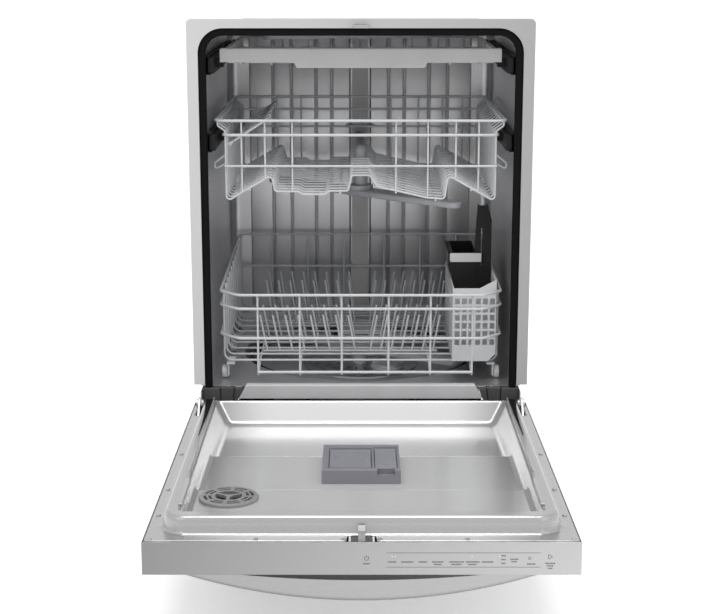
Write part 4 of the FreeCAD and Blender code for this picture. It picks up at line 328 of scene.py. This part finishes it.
def toward_sides(tree):
    """From nothing over the middle of the door to one at its two sides."""
    off_middle = tree.nodes.new("ShaderNodeMath")
    off_middle.operation = "ABSOLUTE"
    share = tree.nodes.new("ShaderNodeMapRange")
    share.interpolation_type = "SMOOTHSTEP"
    share.inputs["From Min"].default_value = PAINTED_SIDE_SHADE_START * MM
    share.inputs["From Max"].default_value = RIM_HALF * MM
    tree.links.new(place_across(tree), off_middle.inputs[0])
    tree.links.new(off_middle.outputs[0], share.inputs["Value"])
    return share.outputs["Result"]


def cloud(tree, shader, clouds, color, vary):
    """A slightly uneven colour."""
    tint(tree, shader, spread(tree, clouds, 0.0, 1.0), scaled(color, 1 - vary), scaled(color, 1 + vary))


def steel(color, rough, stretch, metal=1.0, vary=0.06, grain=0.08, painted_light_sweep=0.0, sides=0.0, uneven=0.06):
    """Metal sheet with a fine directional grain and faint clouding, or instead painted light and shade: a slow
    change across the door from darker at the left to lighter at the right, or painted shade darkening it toward
    the sides.
    """
    material, tree, shader = new_material(color, rough, metal)
    lines = noise(tree, 9.0, stretch, 5.0)
    # Painted light and shade: the colour goes slowly from darker at the left edge of the door to lighter at its
    # right edge.
    if painted_light_sweep:
        tint(tree, shader, across_width(tree), scaled(color, 1 - painted_light_sweep), scaled(color, 1 + painted_light_sweep))
    # Painted shade: the colour darkens toward the two sides of the door.
    elif sides:
        tint(tree, shader, toward_sides(tree), color, scaled(color, 1 - sides))
    else:
        cloud(tree, shader, noise(tree, 3.0), color, vary)
    tree.links.new(spread(tree, lines, rough - uneven, rough + uneven), shader.inputs["Roughness"])
    raise_grain(tree, shader, lines, grain, STEEL_GRAIN)
    return material


def plastic(color, rough, pebble=900.0, grain=0.1, vary=0.05, shine=0.5, painted_light_sweep=0.0):
    """Moulded plastic or paint with a fine texture and slightly uneven colour, or instead painted shade: a slow
    change across the door from lighter at the left to darker at the right.
    """
    material, tree, shader = new_material(color, rough)
    shader.inputs["Specular IOR Level"].default_value = shine
    fine = noise(tree, pebble, detail=2.0)
    clouds = noise(tree, 14.0)
    # Painted shade: the colour goes slowly from lighter at the left edge of the door to darker at its right edge.
    if painted_light_sweep:
        tint(tree, shader, across_width(tree), scaled(color, 1 + painted_light_sweep), scaled(color, 1 - painted_light_sweep))
    else:
        cloud(tree, shader, clouds, color, vary)
    rough_range = (rough - PLASTIC_UNEVEN, rough + PLASTIC_UNEVEN)
    tree.links.new(spread(tree, clouds, *rough_range), shader.inputs["Roughness"])
    raise_grain(tree, shader, fine, grain, PLASTIC_GRAIN)
    return material


def make_materials():
    """Every finish by its name: colour, roughness, direction of the grain or size of the texture."""
    along_x = (4.0, 300.0, 300.0)
    upright = (300.0, 300.0, 4.0)
    every_way = (30.0, 30.0, 30.0)
    finishes = {
        "tub_steel": steel((0.60, 0.60, 0.61), 0.34, upright, metal=0.85),
        # The frame's paint carries painted shade: darker toward the right of the door.
        "frame_paint": plastic((0.49, 0.49, 0.49), 0.42, pebble=1400.0, grain=0.05, painted_light_sweep=0.22),
        "seal_rubber": plastic((0.007, 0.007, 0.007), 0.6, pebble=500.0, grain=0.15, vary=0.1, shine=0.05),
        "damping_mat": plastic((0.035, 0.034, 0.033), 0.85, pebble=260.0, grain=0.5, vary=0.15, shine=0.2),
        "base_steel": steel((0.55, 0.56, 0.56), 0.38, every_way),
        "base_plastic": plastic((0.05, 0.05, 0.053), 0.55, shine=0.3),
        "kick_paint": plastic((0.014, 0.014, 0.015), 0.4, pebble=1200.0, grain=0.06, shine=0.3),
        "grey_plastic": plastic((0.54, 0.54, 0.55), 0.45),
        "pump_case": plastic((0.06, 0.063, 0.068), 0.42),
        "heater_steel": steel((0.07, 0.07, 0.07), 0.34, every_way),
        "filter_steel": steel((0.50, 0.51, 0.52), 0.32, every_way),
        "arm_plastic": plastic((0.42, 0.43, 0.45), 0.40),
        "dark_plastic": plastic((0.012, 0.012, 0.013), 0.45, shine=0.2),
        "coated_wire": plastic((0.60, 0.61, 0.62), 0.32, pebble=700.0, grain=0.06),
        "pale_plastic": plastic((0.63, 0.635, 0.645), 0.40),
        "rack_front_plastic": plastic((0.43, 0.43, 0.43), 0.36),
        # The control strip's steel carries painted light: lighter toward the right of the door.
        "panel_steel": steel((0.35, 0.35, 0.35), 0.34, along_x, painted_light_sweep=0.32),
        # The liner carries painted shade: its colour darkens toward the sides of the door.
        "liner_steel": steel((0.70, 0.70, 0.70), 0.17, along_x, metal=0.42, grain=0.01, sides=0.5,
                             uneven=0.02),
        "flange_steel": steel((0.43, 0.43, 0.43), 0.26, along_x, metal=0.7, vary=0.03, grain=0.01,
                              uneven=0.03),
        # The handle carries painted light: lighter toward the right of the door.
        "handle_metal": steel((0.36, 0.36, 0.36), 0.30, along_x, painted_light_sweep=0.12),
        "dispenser_plastic": plastic((0.21, 0.205, 0.235), 0.42),
        "lid_plastic": plastic((0.24, 0.24, 0.27), 0.36),
        "boot_rubber": plastic((0.07, 0.07, 0.07), 0.5, pebble=500.0, grain=0.15, vary=0.1, shine=0.3),
        "vent_plastic": plastic((0.24, 0.24, 0.24), 0.38),
        "screw_steel": steel((0.42, 0.42, 0.42), 0.3, every_way),
        "mark_ink": plastic((0.06, 0.06, 0.06), 0.5, pebble=2000.0, grain=0.02),
        "lamp_lens": plastic((0.75, 0.75, 0.75), 0.25, pebble=2000.0, grain=0.02),
    }
    for name, material in finishes.items():
        material.name = name
    return finishes


def sharpen(piece, degrees):
    """Keeps the edges of a smooth piece sharp where it bends by more than an angle."""
    split = piece.modifiers.new("sharp edges", "EDGE_SPLIT")
    split.split_angle = math.radians(degrees)


def dress_nodes(materials):
    """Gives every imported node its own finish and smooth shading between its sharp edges."""
    for part in frame["record"]["subparts"]:
        node = NODES[part["node"]]
        material = materials[OWN_FINISH.get(part["node"], part["material_slot"])]
        if not node.material_slots:
            node.data.materials.append(material)
        for slot in node.material_slots:
            slot.material = material
        for face in node.data.polygons:
            face.use_smooth = True
        weld = node.modifiers.new("weld", "WELD")
        weld.merge_threshold = WELD_REACH
        sharpen(node, NODE_SHARP)


# Pieces

def make_piece(name, points, faces, body, material, smooth=True):
    """A mesh from points in the row frame, riding on a body, with a finish of the record."""
    mesh = bpy.data.meshes.new(name)
    mesh.from_pydata([tuple(point) for point in points], [], faces)
    mesh.materials.append(material)
    for face in mesh.polygons:
        face.use_smooth = smooth
    piece = bpy.data.objects.new(name, mesh)
    bpy.context.scene.collection.objects.link(piece)
    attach(piece, body)
    return piece


def grid_faces(start, wide, long):
    """The faces over a grid of points, row by row."""
    faces = []
    for row in range(long - 1):
        for column in range(wide - 1):
            first = start + row * wide + column
            faces.append((first, first + 1, first + wide + 1, first + wide))
    return faces


def flipped(face):
    """The same face, looking the other way."""
    return face[:1] + face[:0:-1]


def spaced(low, high, step):
    """Even places from low up to, but not at, high."""
    count = max(1, round((high - low) / step))
    return np.linspace(low, high, count, endpoint=False)


def lines_between(low, high, bends):
    """Places along an axis: close together within the bends, wide apart between them."""
    places = []
    start = low
    for bend_low, bend_high in bends:
        places.extend(spaced(start, bend_low, COARSE_STEP))
        places.extend(spaced(bend_low, bend_high, FINE_STEP))
        start = bend_high
    places.extend(spaced(start, high, COARSE_STEP))
    places.append(high)
    return np.array(places)


def soft_min(a, b, width):
    """The lower of two heights, rounded over where they meet."""
    share = np.clip(0.5 + 0.5 * (b - a) / width, 0.0, 1.0)
    return b + (a - b) * share - width * share * (1.0 - share)


def soft_max(a, b, width):
    """The higher of two heights, rounded out where they meet."""
    return -soft_min(-a, -b, width)


def soft_step(v, start, long):
    """From nothing to one over a length, without a kink at either end."""
    t = np.clip((v - start) / long, 0.0, 1.0)
    return t * t * (3.0 - 2.0 * t)


def rim_height(u, v):
    """The raised block of the liner: a steep wall, a rounded brow and a flat top."""
    middle = (RIM_LOW_Z + RIM_HIGH_Z) / 2
    corner = np.where(v > middle, RIM_CORNER, RIM_FAR_CORNER)
    across = np.abs(u) - (RIM_HALF - corner)
    along = np.abs(v - middle) - ((RIM_HIGH_Z - RIM_LOW_Z) / 2 - corner)
    outside = np.hypot(np.maximum(across, 0.0), np.maximum(along, 0.0))
    inside = np.minimum(np.maximum(across, along), 0.0)
    depth = corner - outside - inside
    brow = np.clip((depth - RIM_WALL_RUN) / RIM_EDGE, 0.0, 1.0)
    wall = np.clip(depth / RIM_WALL_RUN, 0.0, 1.0) * (RIM_HEIGHT - RIM_EDGE)
    return wall + RIM_EDGE * np.sqrt(1.0 - (1.0 - brow) ** 2)


def basin_height(u, v):
    """The stepped basin of the liner: sloping walls that round into each other and into three floors."""
    depth = soft_min(SIDE_SLOPE * (BASIN_HALF - np.abs(u)), FAR_SLOPE * (v - BASIN_LOW_Z), BASIN_ROUND)
    depth = soft_min(depth, FRONT_SLOPE * (BASIN_HIGH_Z - v), BASIN_ROUND)
    one, two, three = FLOOR_HEIGHTS
    floor = one + (two - one) * soft_step(v, STEP_ZS[0], STEP_LONG)
    floor = floor + (three - two) * soft_step(v, STEP_ZS[1], STEP_LONG)
    return soft_max(floor, RIM_HEIGHT - depth, BASIN_FILLET)


def liner_way(u, v):
    """True where the liner is open: the hinge arms, the latch, the dispenser and the vent."""
    if HINGE_SLOT[0] < abs(u) < HINGE_SLOT[1] and v < HINGE_SLOT[2]:
        return True
    if abs(u) < LATCH_SLOT[0] and v > LATCH_SLOT[1]:
        return True
    if abs(u) < DISPENSER_WAY[0] and DISPENSER_WAY[1] < v < DISPENSER_WAY[2]:
        return True
    return math.hypot(u - VENT_PLACE[0], v - VENT_PLACE[1]) < VENT_PLACE[2]


def is_polished(u, v):
    """The polished part of the liner: the brim, all within it, and the strip before the control panel."""
    past_side = max(0.0, abs(u) - RIM_HALF + RIM_CORNER)
    past_front = max(0.0, v - RIM_HIGH_Z + RIM_CORNER)
    within_brim = math.hypot(past_side, past_front) < RIM_CORNER - RIM_EDGE / 2
    front_strip = abs(u) < RIM_HALF - RIM_CORNER and v > RIM_HIGH_Z + RIM_WALL_RUN
    return within_brim or front_strip


def liner_lines():
    """The places of the liner's mesh across the door and along it, close together where it bends."""
    way_side = (DISPENSER_WAY[0] - WAY_MARGIN, DISPENSER_WAY[0] + WAY_MARGIN)
    side_wall = (BASIN_HALF - SIDE_WALL_RUN, RIM_HALF)
    right = lines_between(0.0, DOOR_HALF, [way_side, side_wall])
    us = np.concatenate([-right[:0:-1], right])
    far_wall = (RIM_LOW_Z, BASIN_LOW_Z + FAR_WALL_RUN)
    steps = [(z - BEFORE_STEP, z + STEP_LONG + AFTER_STEP) for z in STEP_ZS]
    front_wall = (BASIN_HIGH_Z - FRONT_WALL_RUN, RIM_HIGH_Z + RIM_WALL_RUN)
    vs = lines_between(FLANGE_LOW_Z, DOOR_TOP_Z - PANEL_THICK, [far_wall, *steps, front_wall])
    return us, vs


def liner_faces(us, vs):
    """The faces of the liner outside its openings, and a finish for each: 0 polished, 1 satin."""
    faces = []
    finishes = []
    for face in grid_faces(0, len(us), len(vs)):
        row, column = divmod(face[0], len(us))
        u = (us[column] + us[column + 1]) / 2
        v = (vs[row] + vs[row + 1]) / 2
        if not liner_way(u, v):
            faces.append(flipped(face))
            finishes.append(0 if is_polished(u, v) else 1)
    return faces, finishes


def make_liner(polished, satin):
    """The inner door as one soft pressed sheet, polished within the brim and satin outside it."""
    us, vs = liner_lines()
    u, v = np.meshgrid(us, vs)
    height = soft_min(rim_height(u, v), basin_height(u, v), BRIM_FILLET)
    height = np.where(np.abs(u) < RIM_HALF + RIM_WALL_RUN, height, 0.0)
    points = [door_point(a, FLANGE_Y + w, b) for a, w, b in zip(u.flat, height.flat, v.flat)]
    faces, finishes = liner_faces(us, vs)
    liner = make_piece("liner_sheet", points, faces, "door", polished)
    liner.data.materials.append(satin)
    liner.data.polygons.foreach_set("material_index", finishes)
    ease = liner.modifiers.new("eased bends", "SMOOTH")
    ease.factor = 0.5
    ease.iterations = 5
    solid = liner.modifiers.new("sheet", "SOLIDIFY")
    solid.thickness = LINER_SHEET * MM
    solid.offset = -1.0
    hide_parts("door_liner")


def make_back_panels(material):
    """The flat pressed panels of the tub's back wall, with sloping sides and ends."""
    points = []
    faces = []
    ends = ((BACK_PANEL_LOW_Z, 0.0), (BACK_PANEL_LOW_Z + BACK_PANEL_END, 1.0),
            (BACK_PANEL_HIGH_Z - BACK_PANEL_END, 1.0), (BACK_PANEL_HIGH_Z, 0.0))
    spans = BACK_PANEL_SPANS + tuple((-high, -low) for low, high in BACK_PANEL_SPANS)
    for low, high in spans:
        profile = [(low + step, share) for step, share in BACK_PANEL_EDGE]
        profile += [(high - step, share) for step, share in reversed(BACK_PANEL_EDGE)]
        faces += grid_faces(len(points), len(profile), len(ends))
        for z, end_share in ends:
            for x, share in profile:
                y = BACK_WALL_Y + BACK_PANEL_SUNK - BACK_PANEL_PROUD * share * end_share
                points.append(row_point(x, y, z))
    panels = make_piece("back_panels", points, faces, "cabinet", material)
    sharpen(panels, PANEL_SHARP)


def bevelled_block(points, faces, outline, front, back, bevel):
    """Adds an upright block with a bevelled front, from an outline of (x, z) corners."""
    middle_x = sum(x for x, z in outline) / len(outline)
    middle_z = sum(z for x, z in outline) / len(outline)
    inner = []
    for x, z in outline:
        inner.append((x - math.copysign(bevel, x - middle_x), z - math.copysign(bevel, z - middle_z)))
    start = len(points)
    count = len(outline)
    for corners, y in ((outline, back), (outline, front + bevel), (inner, front)):
        points.extend(row_point(x, y, z) for x, z in corners)
    for level in (0, 1):
        for k in range(count):
            a = start + level * count + k
            b = start + level * count + (k + 1) % count
            faces.append((a, b, b + count, a + count))
    faces.append(tuple(range(start + 2 * count, start + 3 * count)))
    faces.append(tuple(range(start + count - 1, start - 1, -1)))


def make_corner_boots(material):
    """Dark blocks that close the corners between the sill and the side members."""
    points = []
    faces = []
    for side in (-1, 1):
        for (low_in, high_in), (low_out, high_out), front in BOOT_BLOCKS:
            outline = [(side * low_in, BOOT_LOW_Z), (side * low_out, BOOT_LOW_Z),
                       (side * high_out, BOOT_HIGH_Z), (side * high_in, BOOT_HIGH_Z)]
            bevelled_block(points, faces, outline, front, BOOT_BACK_Y, BOOT_BEVEL)
    make_piece("corner_boots", points, faces, "cabinet", material, False)


def wedge_profile(low, high):
    """The section of a wedge: half-widths, and heights above the rim of the liner."""
    return ((low, -WEDGE_SUNK), (low + WEDGE_SLANT, WEDGE_PROUD),
            (high - WEDGE_SLANT, WEDGE_PROUD), (high, -WEDGE_SUNK))


def make_wedges(material):
    """Dark strips on the rim of the liner, outside the fins, that narrow away from the hinge."""
    points = []
    faces = []
    for side in (-1, 1):
        start = len(points)
        for v, low, high in WEDGE_ROWS:
            profile = wedge_profile(low, high)
            points += [door_point(side * u, FLANGE_Y + RIM_HEIGHT + w, v) for u, w in profile]
        wide = len(profile)
        faces += grid_faces(start, wide, len(WEDGE_ROWS))
        faces.append(tuple(range(start, start + wide)))
        faces.append(tuple(range(len(points) - wide, len(points))))
    make_piece("door_wedges", points, faces, "door", material, False)


def make_hopper_band(material):
    """The light band across the front of the dark cutlery hopper."""
    points = []
    faces = []
    left, right, low, high = HOPPER_BAND
    cut = HOPPER_BAND_CUT
    outline = [(left, low + cut), (left + cut, low), (right, low), (right, high), (left, high)]
    front = HOPPER_FRONT_Y - HOPPER_BAND_THICK
    bevelled_block(points, faces, outline, front, HOPPER_FRONT_Y, HOPPER_BAND_BEVEL)
    make_piece("hopper_band", points, faces, "lower_rack", material, False)


def strip_point(x, y):
    """A place on the face of the control strip."""
    return door_point(x, y, STRIP_FACE_Z + MARK_PROUD)


def bar(marks, x0, x1, y0, y1):
    """A small printed bar on the control strip."""
    marks.append([strip_point(x0, y0), strip_point(x1, y0), strip_point(x1, y1), strip_point(x0, y1)])


def ring(marks, x, y, inner, outer, start=0, end=360, steps=24):
    """A printed ring, or a part of one, from start to end in degrees."""
    for k in range(steps):
        angles = [math.radians(start + (end - start) * (k + j) / steps) for j in (0, 1)]
        corners = [(inner, angles[0]), (outer, angles[0]), (outer, angles[1]), (inner, angles[1])]
        marks.append([strip_point(x + r * math.cos(a), y + r * math.sin(a)) for r, a in corners])


def label(marks, x, y, width, rows):
    """A label: short rows of fine strokes with gaps, like print seen from afar."""
    for row in range(rows):
        half = width * (1.0 - LABEL_ROW_LOSS * row) / 2
        middle = y - LABEL_ROW_PITCH * row
        left = x - half
        stroke = 0
        while left < x + half:
            long = LABEL_STROKES[stroke % len(LABEL_STROKES)]
            bar(marks, left, left + long, middle - LABEL_HALF, middle + LABEL_HALF)
            left += long + LABEL_GAP
            stroke += 1


def power_sign(marks):
    """A broken ring with a stem."""
    ring(marks, POWER_X, SIGN_Y, *POWER_RING, *POWER_ARC)
    bar(marks, POWER_X - POWER_STEM_HALF, POWER_X + POWER_STEM_HALF,
        SIGN_Y + POWER_STEM[0], SIGN_Y + POWER_STEM[1])


def start_sign(marks):
    """A triangle drawn in thin lines."""
    y = SIGN_Y + START_UP
    for a, b in zip(START_CORNERS, START_CORNERS[1:] + START_CORNERS[:1]):
        side = Vector((b[0] - a[0], b[1] - a[1])).normalized() * START_LINE_HALF
        corners = [(a[0] - side.y, a[1] + side.x), (b[0] - side.y, b[1] + side.x),
                   (b[0] + side.y, b[1] - side.x), (a[0] + side.y, a[1] - side.x)]
        marks.append([strip_point(START_X + u, y + v) for u, v in corners])


def marks_piece(name, marks, material):
    """One piece of the door from all marks of one colour."""
    points = [point for mark in marks for point in mark]
    faces = []
    start = 0
    for mark in marks:
        faces.append(tuple(range(start, start + len(mark))))
        start += len(mark)
    make_piece(name, points, faces, "door", material, False)


def make_strip_marks(material):
    """The printed signs, labels and lines of the control strip."""
    marks = []
    power_sign(marks)
    ring(marks, RESET_X, SIGN_Y, *RESET_RING)
    start_sign(marks)
    for x, y, width, rows in LABELS:
        label(marks, x, y, width, rows)
    for y in RULE_YS:
        bar(marks, *RULE_SPAN, y - RULE_HALF, y + RULE_HALF)
    marks_piece("strip_marks", marks, material)


def make_strip_lamps(material):
    """The small lamps above the keys."""
    half_wide, half_long = LAMP_HALF
    marks = []
    for x in LAMP_XS:
        bar(marks, x - half_wide, x + half_wide, LAMP_Y - half_long, LAMP_Y + half_long)
    marks_piece("strip_lamps", marks, material)


def grid_rim(wide, long):
    """The points round the edge of a grid, in order."""
    rim = list(range(wide))
    rim += [row * wide + wide - 1 for row in range(1, long)]
    rim += [(long - 1) * wide + column for column in range(wide - 2, -1, -1)]
    rim += [row * wide for row in range(long - 2, 0, -1)]
    return rim


def relief_plate(name, place, height, body, material):
    """A thin lid of the dispenser: a modelled top face over a flat underside."""
    left, width, low, tall = place
    us = np.linspace(left, left + width, int(width / LID_MESH) + 1)
    vs = np.linspace(low, low + tall, int(tall / LID_MESH) + 1)
    wide = len(us)
    long = len(vs)
    face_y = FLANGE_Y + DISPENSER_FACE
    top = [door_point(u, face_y + height((u - left) / width, (v - low) / tall), v) for v in vs for u in us]
    underside = [door_point(u, face_y - LID_THICK, v) for v in vs for u in us]
    count = len(top)
    faces = [flipped(face) for face in grid_faces(0, wide, long)]
    faces += grid_faces(count, wide, long)
    rim = grid_rim(wide, long)
    for a, b in zip(rim, rim[1:] + rim[:1]):
        faces.append((a, b, count + b, count + a))
    plate = make_piece(name, top + underside, faces, body, material)
    sharpen(plate, LID_SHARP)
    return plate


def edge_round(across, along, place):
    """How far the rounded edge of a lid falls below its face."""
    left, width, low, tall = place
    inside = min(across * width, (1.0 - across) * width, along * tall, (1.0 - along) * tall)
    t = min(1.0, max(0.0, inside) / LID_ROUND)
    return LID_ROUND * (math.sqrt(1.0 - (1.0 - t) ** 2) - 1.0)


def within(across, along, area):
    """True inside an area given by its left, right, far and near limits."""
    left, right, far, near = area
    return left < across < right and far < along < near


def detergent_height(across, along):
    """The face of the detergent lid: a sunk field, a groove, a finger scoop and a low front lip."""
    height = edge_round(across, along, DETERGENT_LID)
    if within(across, along, DETERGENT_FIELD):
        height -= DETERGENT_FIELD_DEPTH
    if within(across, along, DETERGENT_GROOVE):
        height -= DETERGENT_SCOOP_DEPTH
    if within(across, along, DETERGENT_SCOOP):
        far, near = DETERGENT_SCOOP[2:]
        height -= DETERGENT_SCOOP_DEPTH * (near - along) / (near - far)
    if along > DETERGENT_LIP_START:
        height = -DETERGENT_LIP_DEPTH
    return max(height, -LID_DEEPEST)


def rinse_height(across, along):
    """The face of the rinse-aid cap: a sunk field and two small vents."""
    height = edge_round(across, along, RINSE_CAP)
    if within(across, along, RINSE_FIELD):
        height -= RINSE_FIELD_DEPTH
    half_wide, half_long = RINSE_VENT_HALF
    for middle in RINSE_VENTS:
        if abs(across - middle) < half_wide and abs(along - RINSE_VENT_ALONG) < half_long:
            height -= RINSE_VENT_DEPTH
    return max(height, -LID_DEEPEST)


def make_lids(material):
    """The detergent lid and the rinse-aid cap of the dispenser."""
    lid = relief_plate("detergent_relief", DETERGENT_LID, detergent_height, "detergent_lid",
                       material)
    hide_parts("detergent_lid")
    cap = relief_plate("rinse_relief", RINSE_CAP, rinse_height, "rinse_cap", material)
    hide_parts("rinse_cap")


# Stage, lights and camera

def seen_or_reflected(tree):
    """One where a ray comes from the camera, a reflection or a clear piece, and nothing elsewhere."""
    rays = tree.nodes.new("ShaderNodeLightPath")
    seen = rays.outputs["Is Camera Ray"]
    for kind in ("Is Glossy Ray", "Is Transmission Ray"):
        either = tree.nodes.new("ShaderNodeMath")
        either.operation = "MAXIMUM"
        tree.links.new(seen, either.inputs[0])
        tree.links.new(rays.outputs[kind], either.inputs[1])
        seen = either.outputs[0]
    return seen


def level_for(tree, seen, low, high):
    """The low level where a ray lights something, and the high one where it is seen."""
    level = tree.nodes.new("ShaderNodeMapRange")
    level.inputs["To Min"].default_value = low
    level.inputs["To Max"].default_value = high
    tree.links.new(seen, level.inputs["Value"])
    return level.outputs["Result"]


def make_floor():
    """A pale floor that keeps the object's shadow."""
    half = FLOOR_HALF
    mesh = bpy.data.meshes.new("floor")
    corners = [(-half, -half, 0), (half, -half, 0), (half, half, 0), (-half, half, 0)]
    mesh.from_pydata(corners, [], [(0, 1, 2, 3)])
    floor = bpy.data.objects.new("floor", mesh)
    bpy.context.scene.collection.objects.link(floor)
    material, tree, shader = new_material((0.95, 0.95, 0.95), 0.8)
    material.name = "floor"
    shader.inputs["Specular IOR Level"].default_value = 0.1
    shader.inputs["Emission Color"].default_value = (1.0, 1.0, 1.0, 1.0)
    glow = level_for(tree, seen_or_reflected(tree), 0.0, FLOOR_GLOW)
    tree.links.new(glow, shader.inputs["Emission Strength"])
    mesh.materials.append(material)


def make_world():
    """White where it is seen or reflected, and a gentler level where it lights the object."""
    world = bpy.data.worlds.new("studio")
    bpy.context.scene.world = world
    world.use_nodes = True
    tree = world.node_tree
    background = tree.nodes["Background"]
    background.inputs["Color"].default_value = (1.0, 1.0, 1.0, 1.0)
    level = level_for(tree, seen_or_reflected(tree), WORLD_LIGHT, 1.0)
    tree.links.new(level, background.inputs["Strength"])


def soft_light(name, place, target, size, power):
    """A wide lamp that looks at its target."""
    light = bpy.data.lights.new(name, "AREA")
    light.shape = "RECTANGLE"
    light.size = size[0]
    light.size_y = size[1]
    light.energy = power
    lamp = bpy.data.objects.new(name, light)
    bpy.context.scene.collection.objects.link(lamp)
    lamp.location = place
    lamp.rotation_euler = (Vector(target) - Vector(place)).to_track_quat("-Z", "Y").to_euler()


def make_lights():
    """A key lamp on the left, a weaker one on the right, and one above the open door."""
    for name, settings in LAMPS.items():
        soft_light(name, *settings)


def make_camera():
    """The camera that sees the object as the photograph does."""
    camera = bpy.data.cameras.new("camera")
    camera.sensor_width = SENSOR
    camera.lens = CAMERA_FOCAL / PHOTO_WIDTH * SENSOR
    camera.clip_end = CAMERA_REACH
    holder = bpy.data.objects.new("camera", camera)
    bpy.context.scene.collection.objects.link(holder)
    holder.location = (CAMERA_X, FRAME_FACE - CAMERA_AHEAD, CAMERA_HEIGHT)
    holder.rotation_euler = (math.radians(90 - CAMERA_PITCH), 0, 0)
    bpy.context.scene.camera = holder


bpy.context.scene.view_settings.view_transform = "Standard"
MATERIALS = make_materials()
dress_nodes(MATERIALS)
make_liner(MATERIALS["liner_steel"], MATERIALS["flange_steel"])
make_back_panels(MATERIALS["tub_steel"])
make_corner_boots(MATERIALS["boot_rubber"])
make_wedges(MATERIALS["seal_rubber"])
make_hopper_band(MATERIALS["pale_plastic"])
make_strip_marks(MATERIALS["mark_ink"])
make_strip_lamps(MATERIALS["lamp_lens"])
make_lids(MATERIALS["lid_plastic"])
make_floor()
make_world()
make_lights()
make_camera()
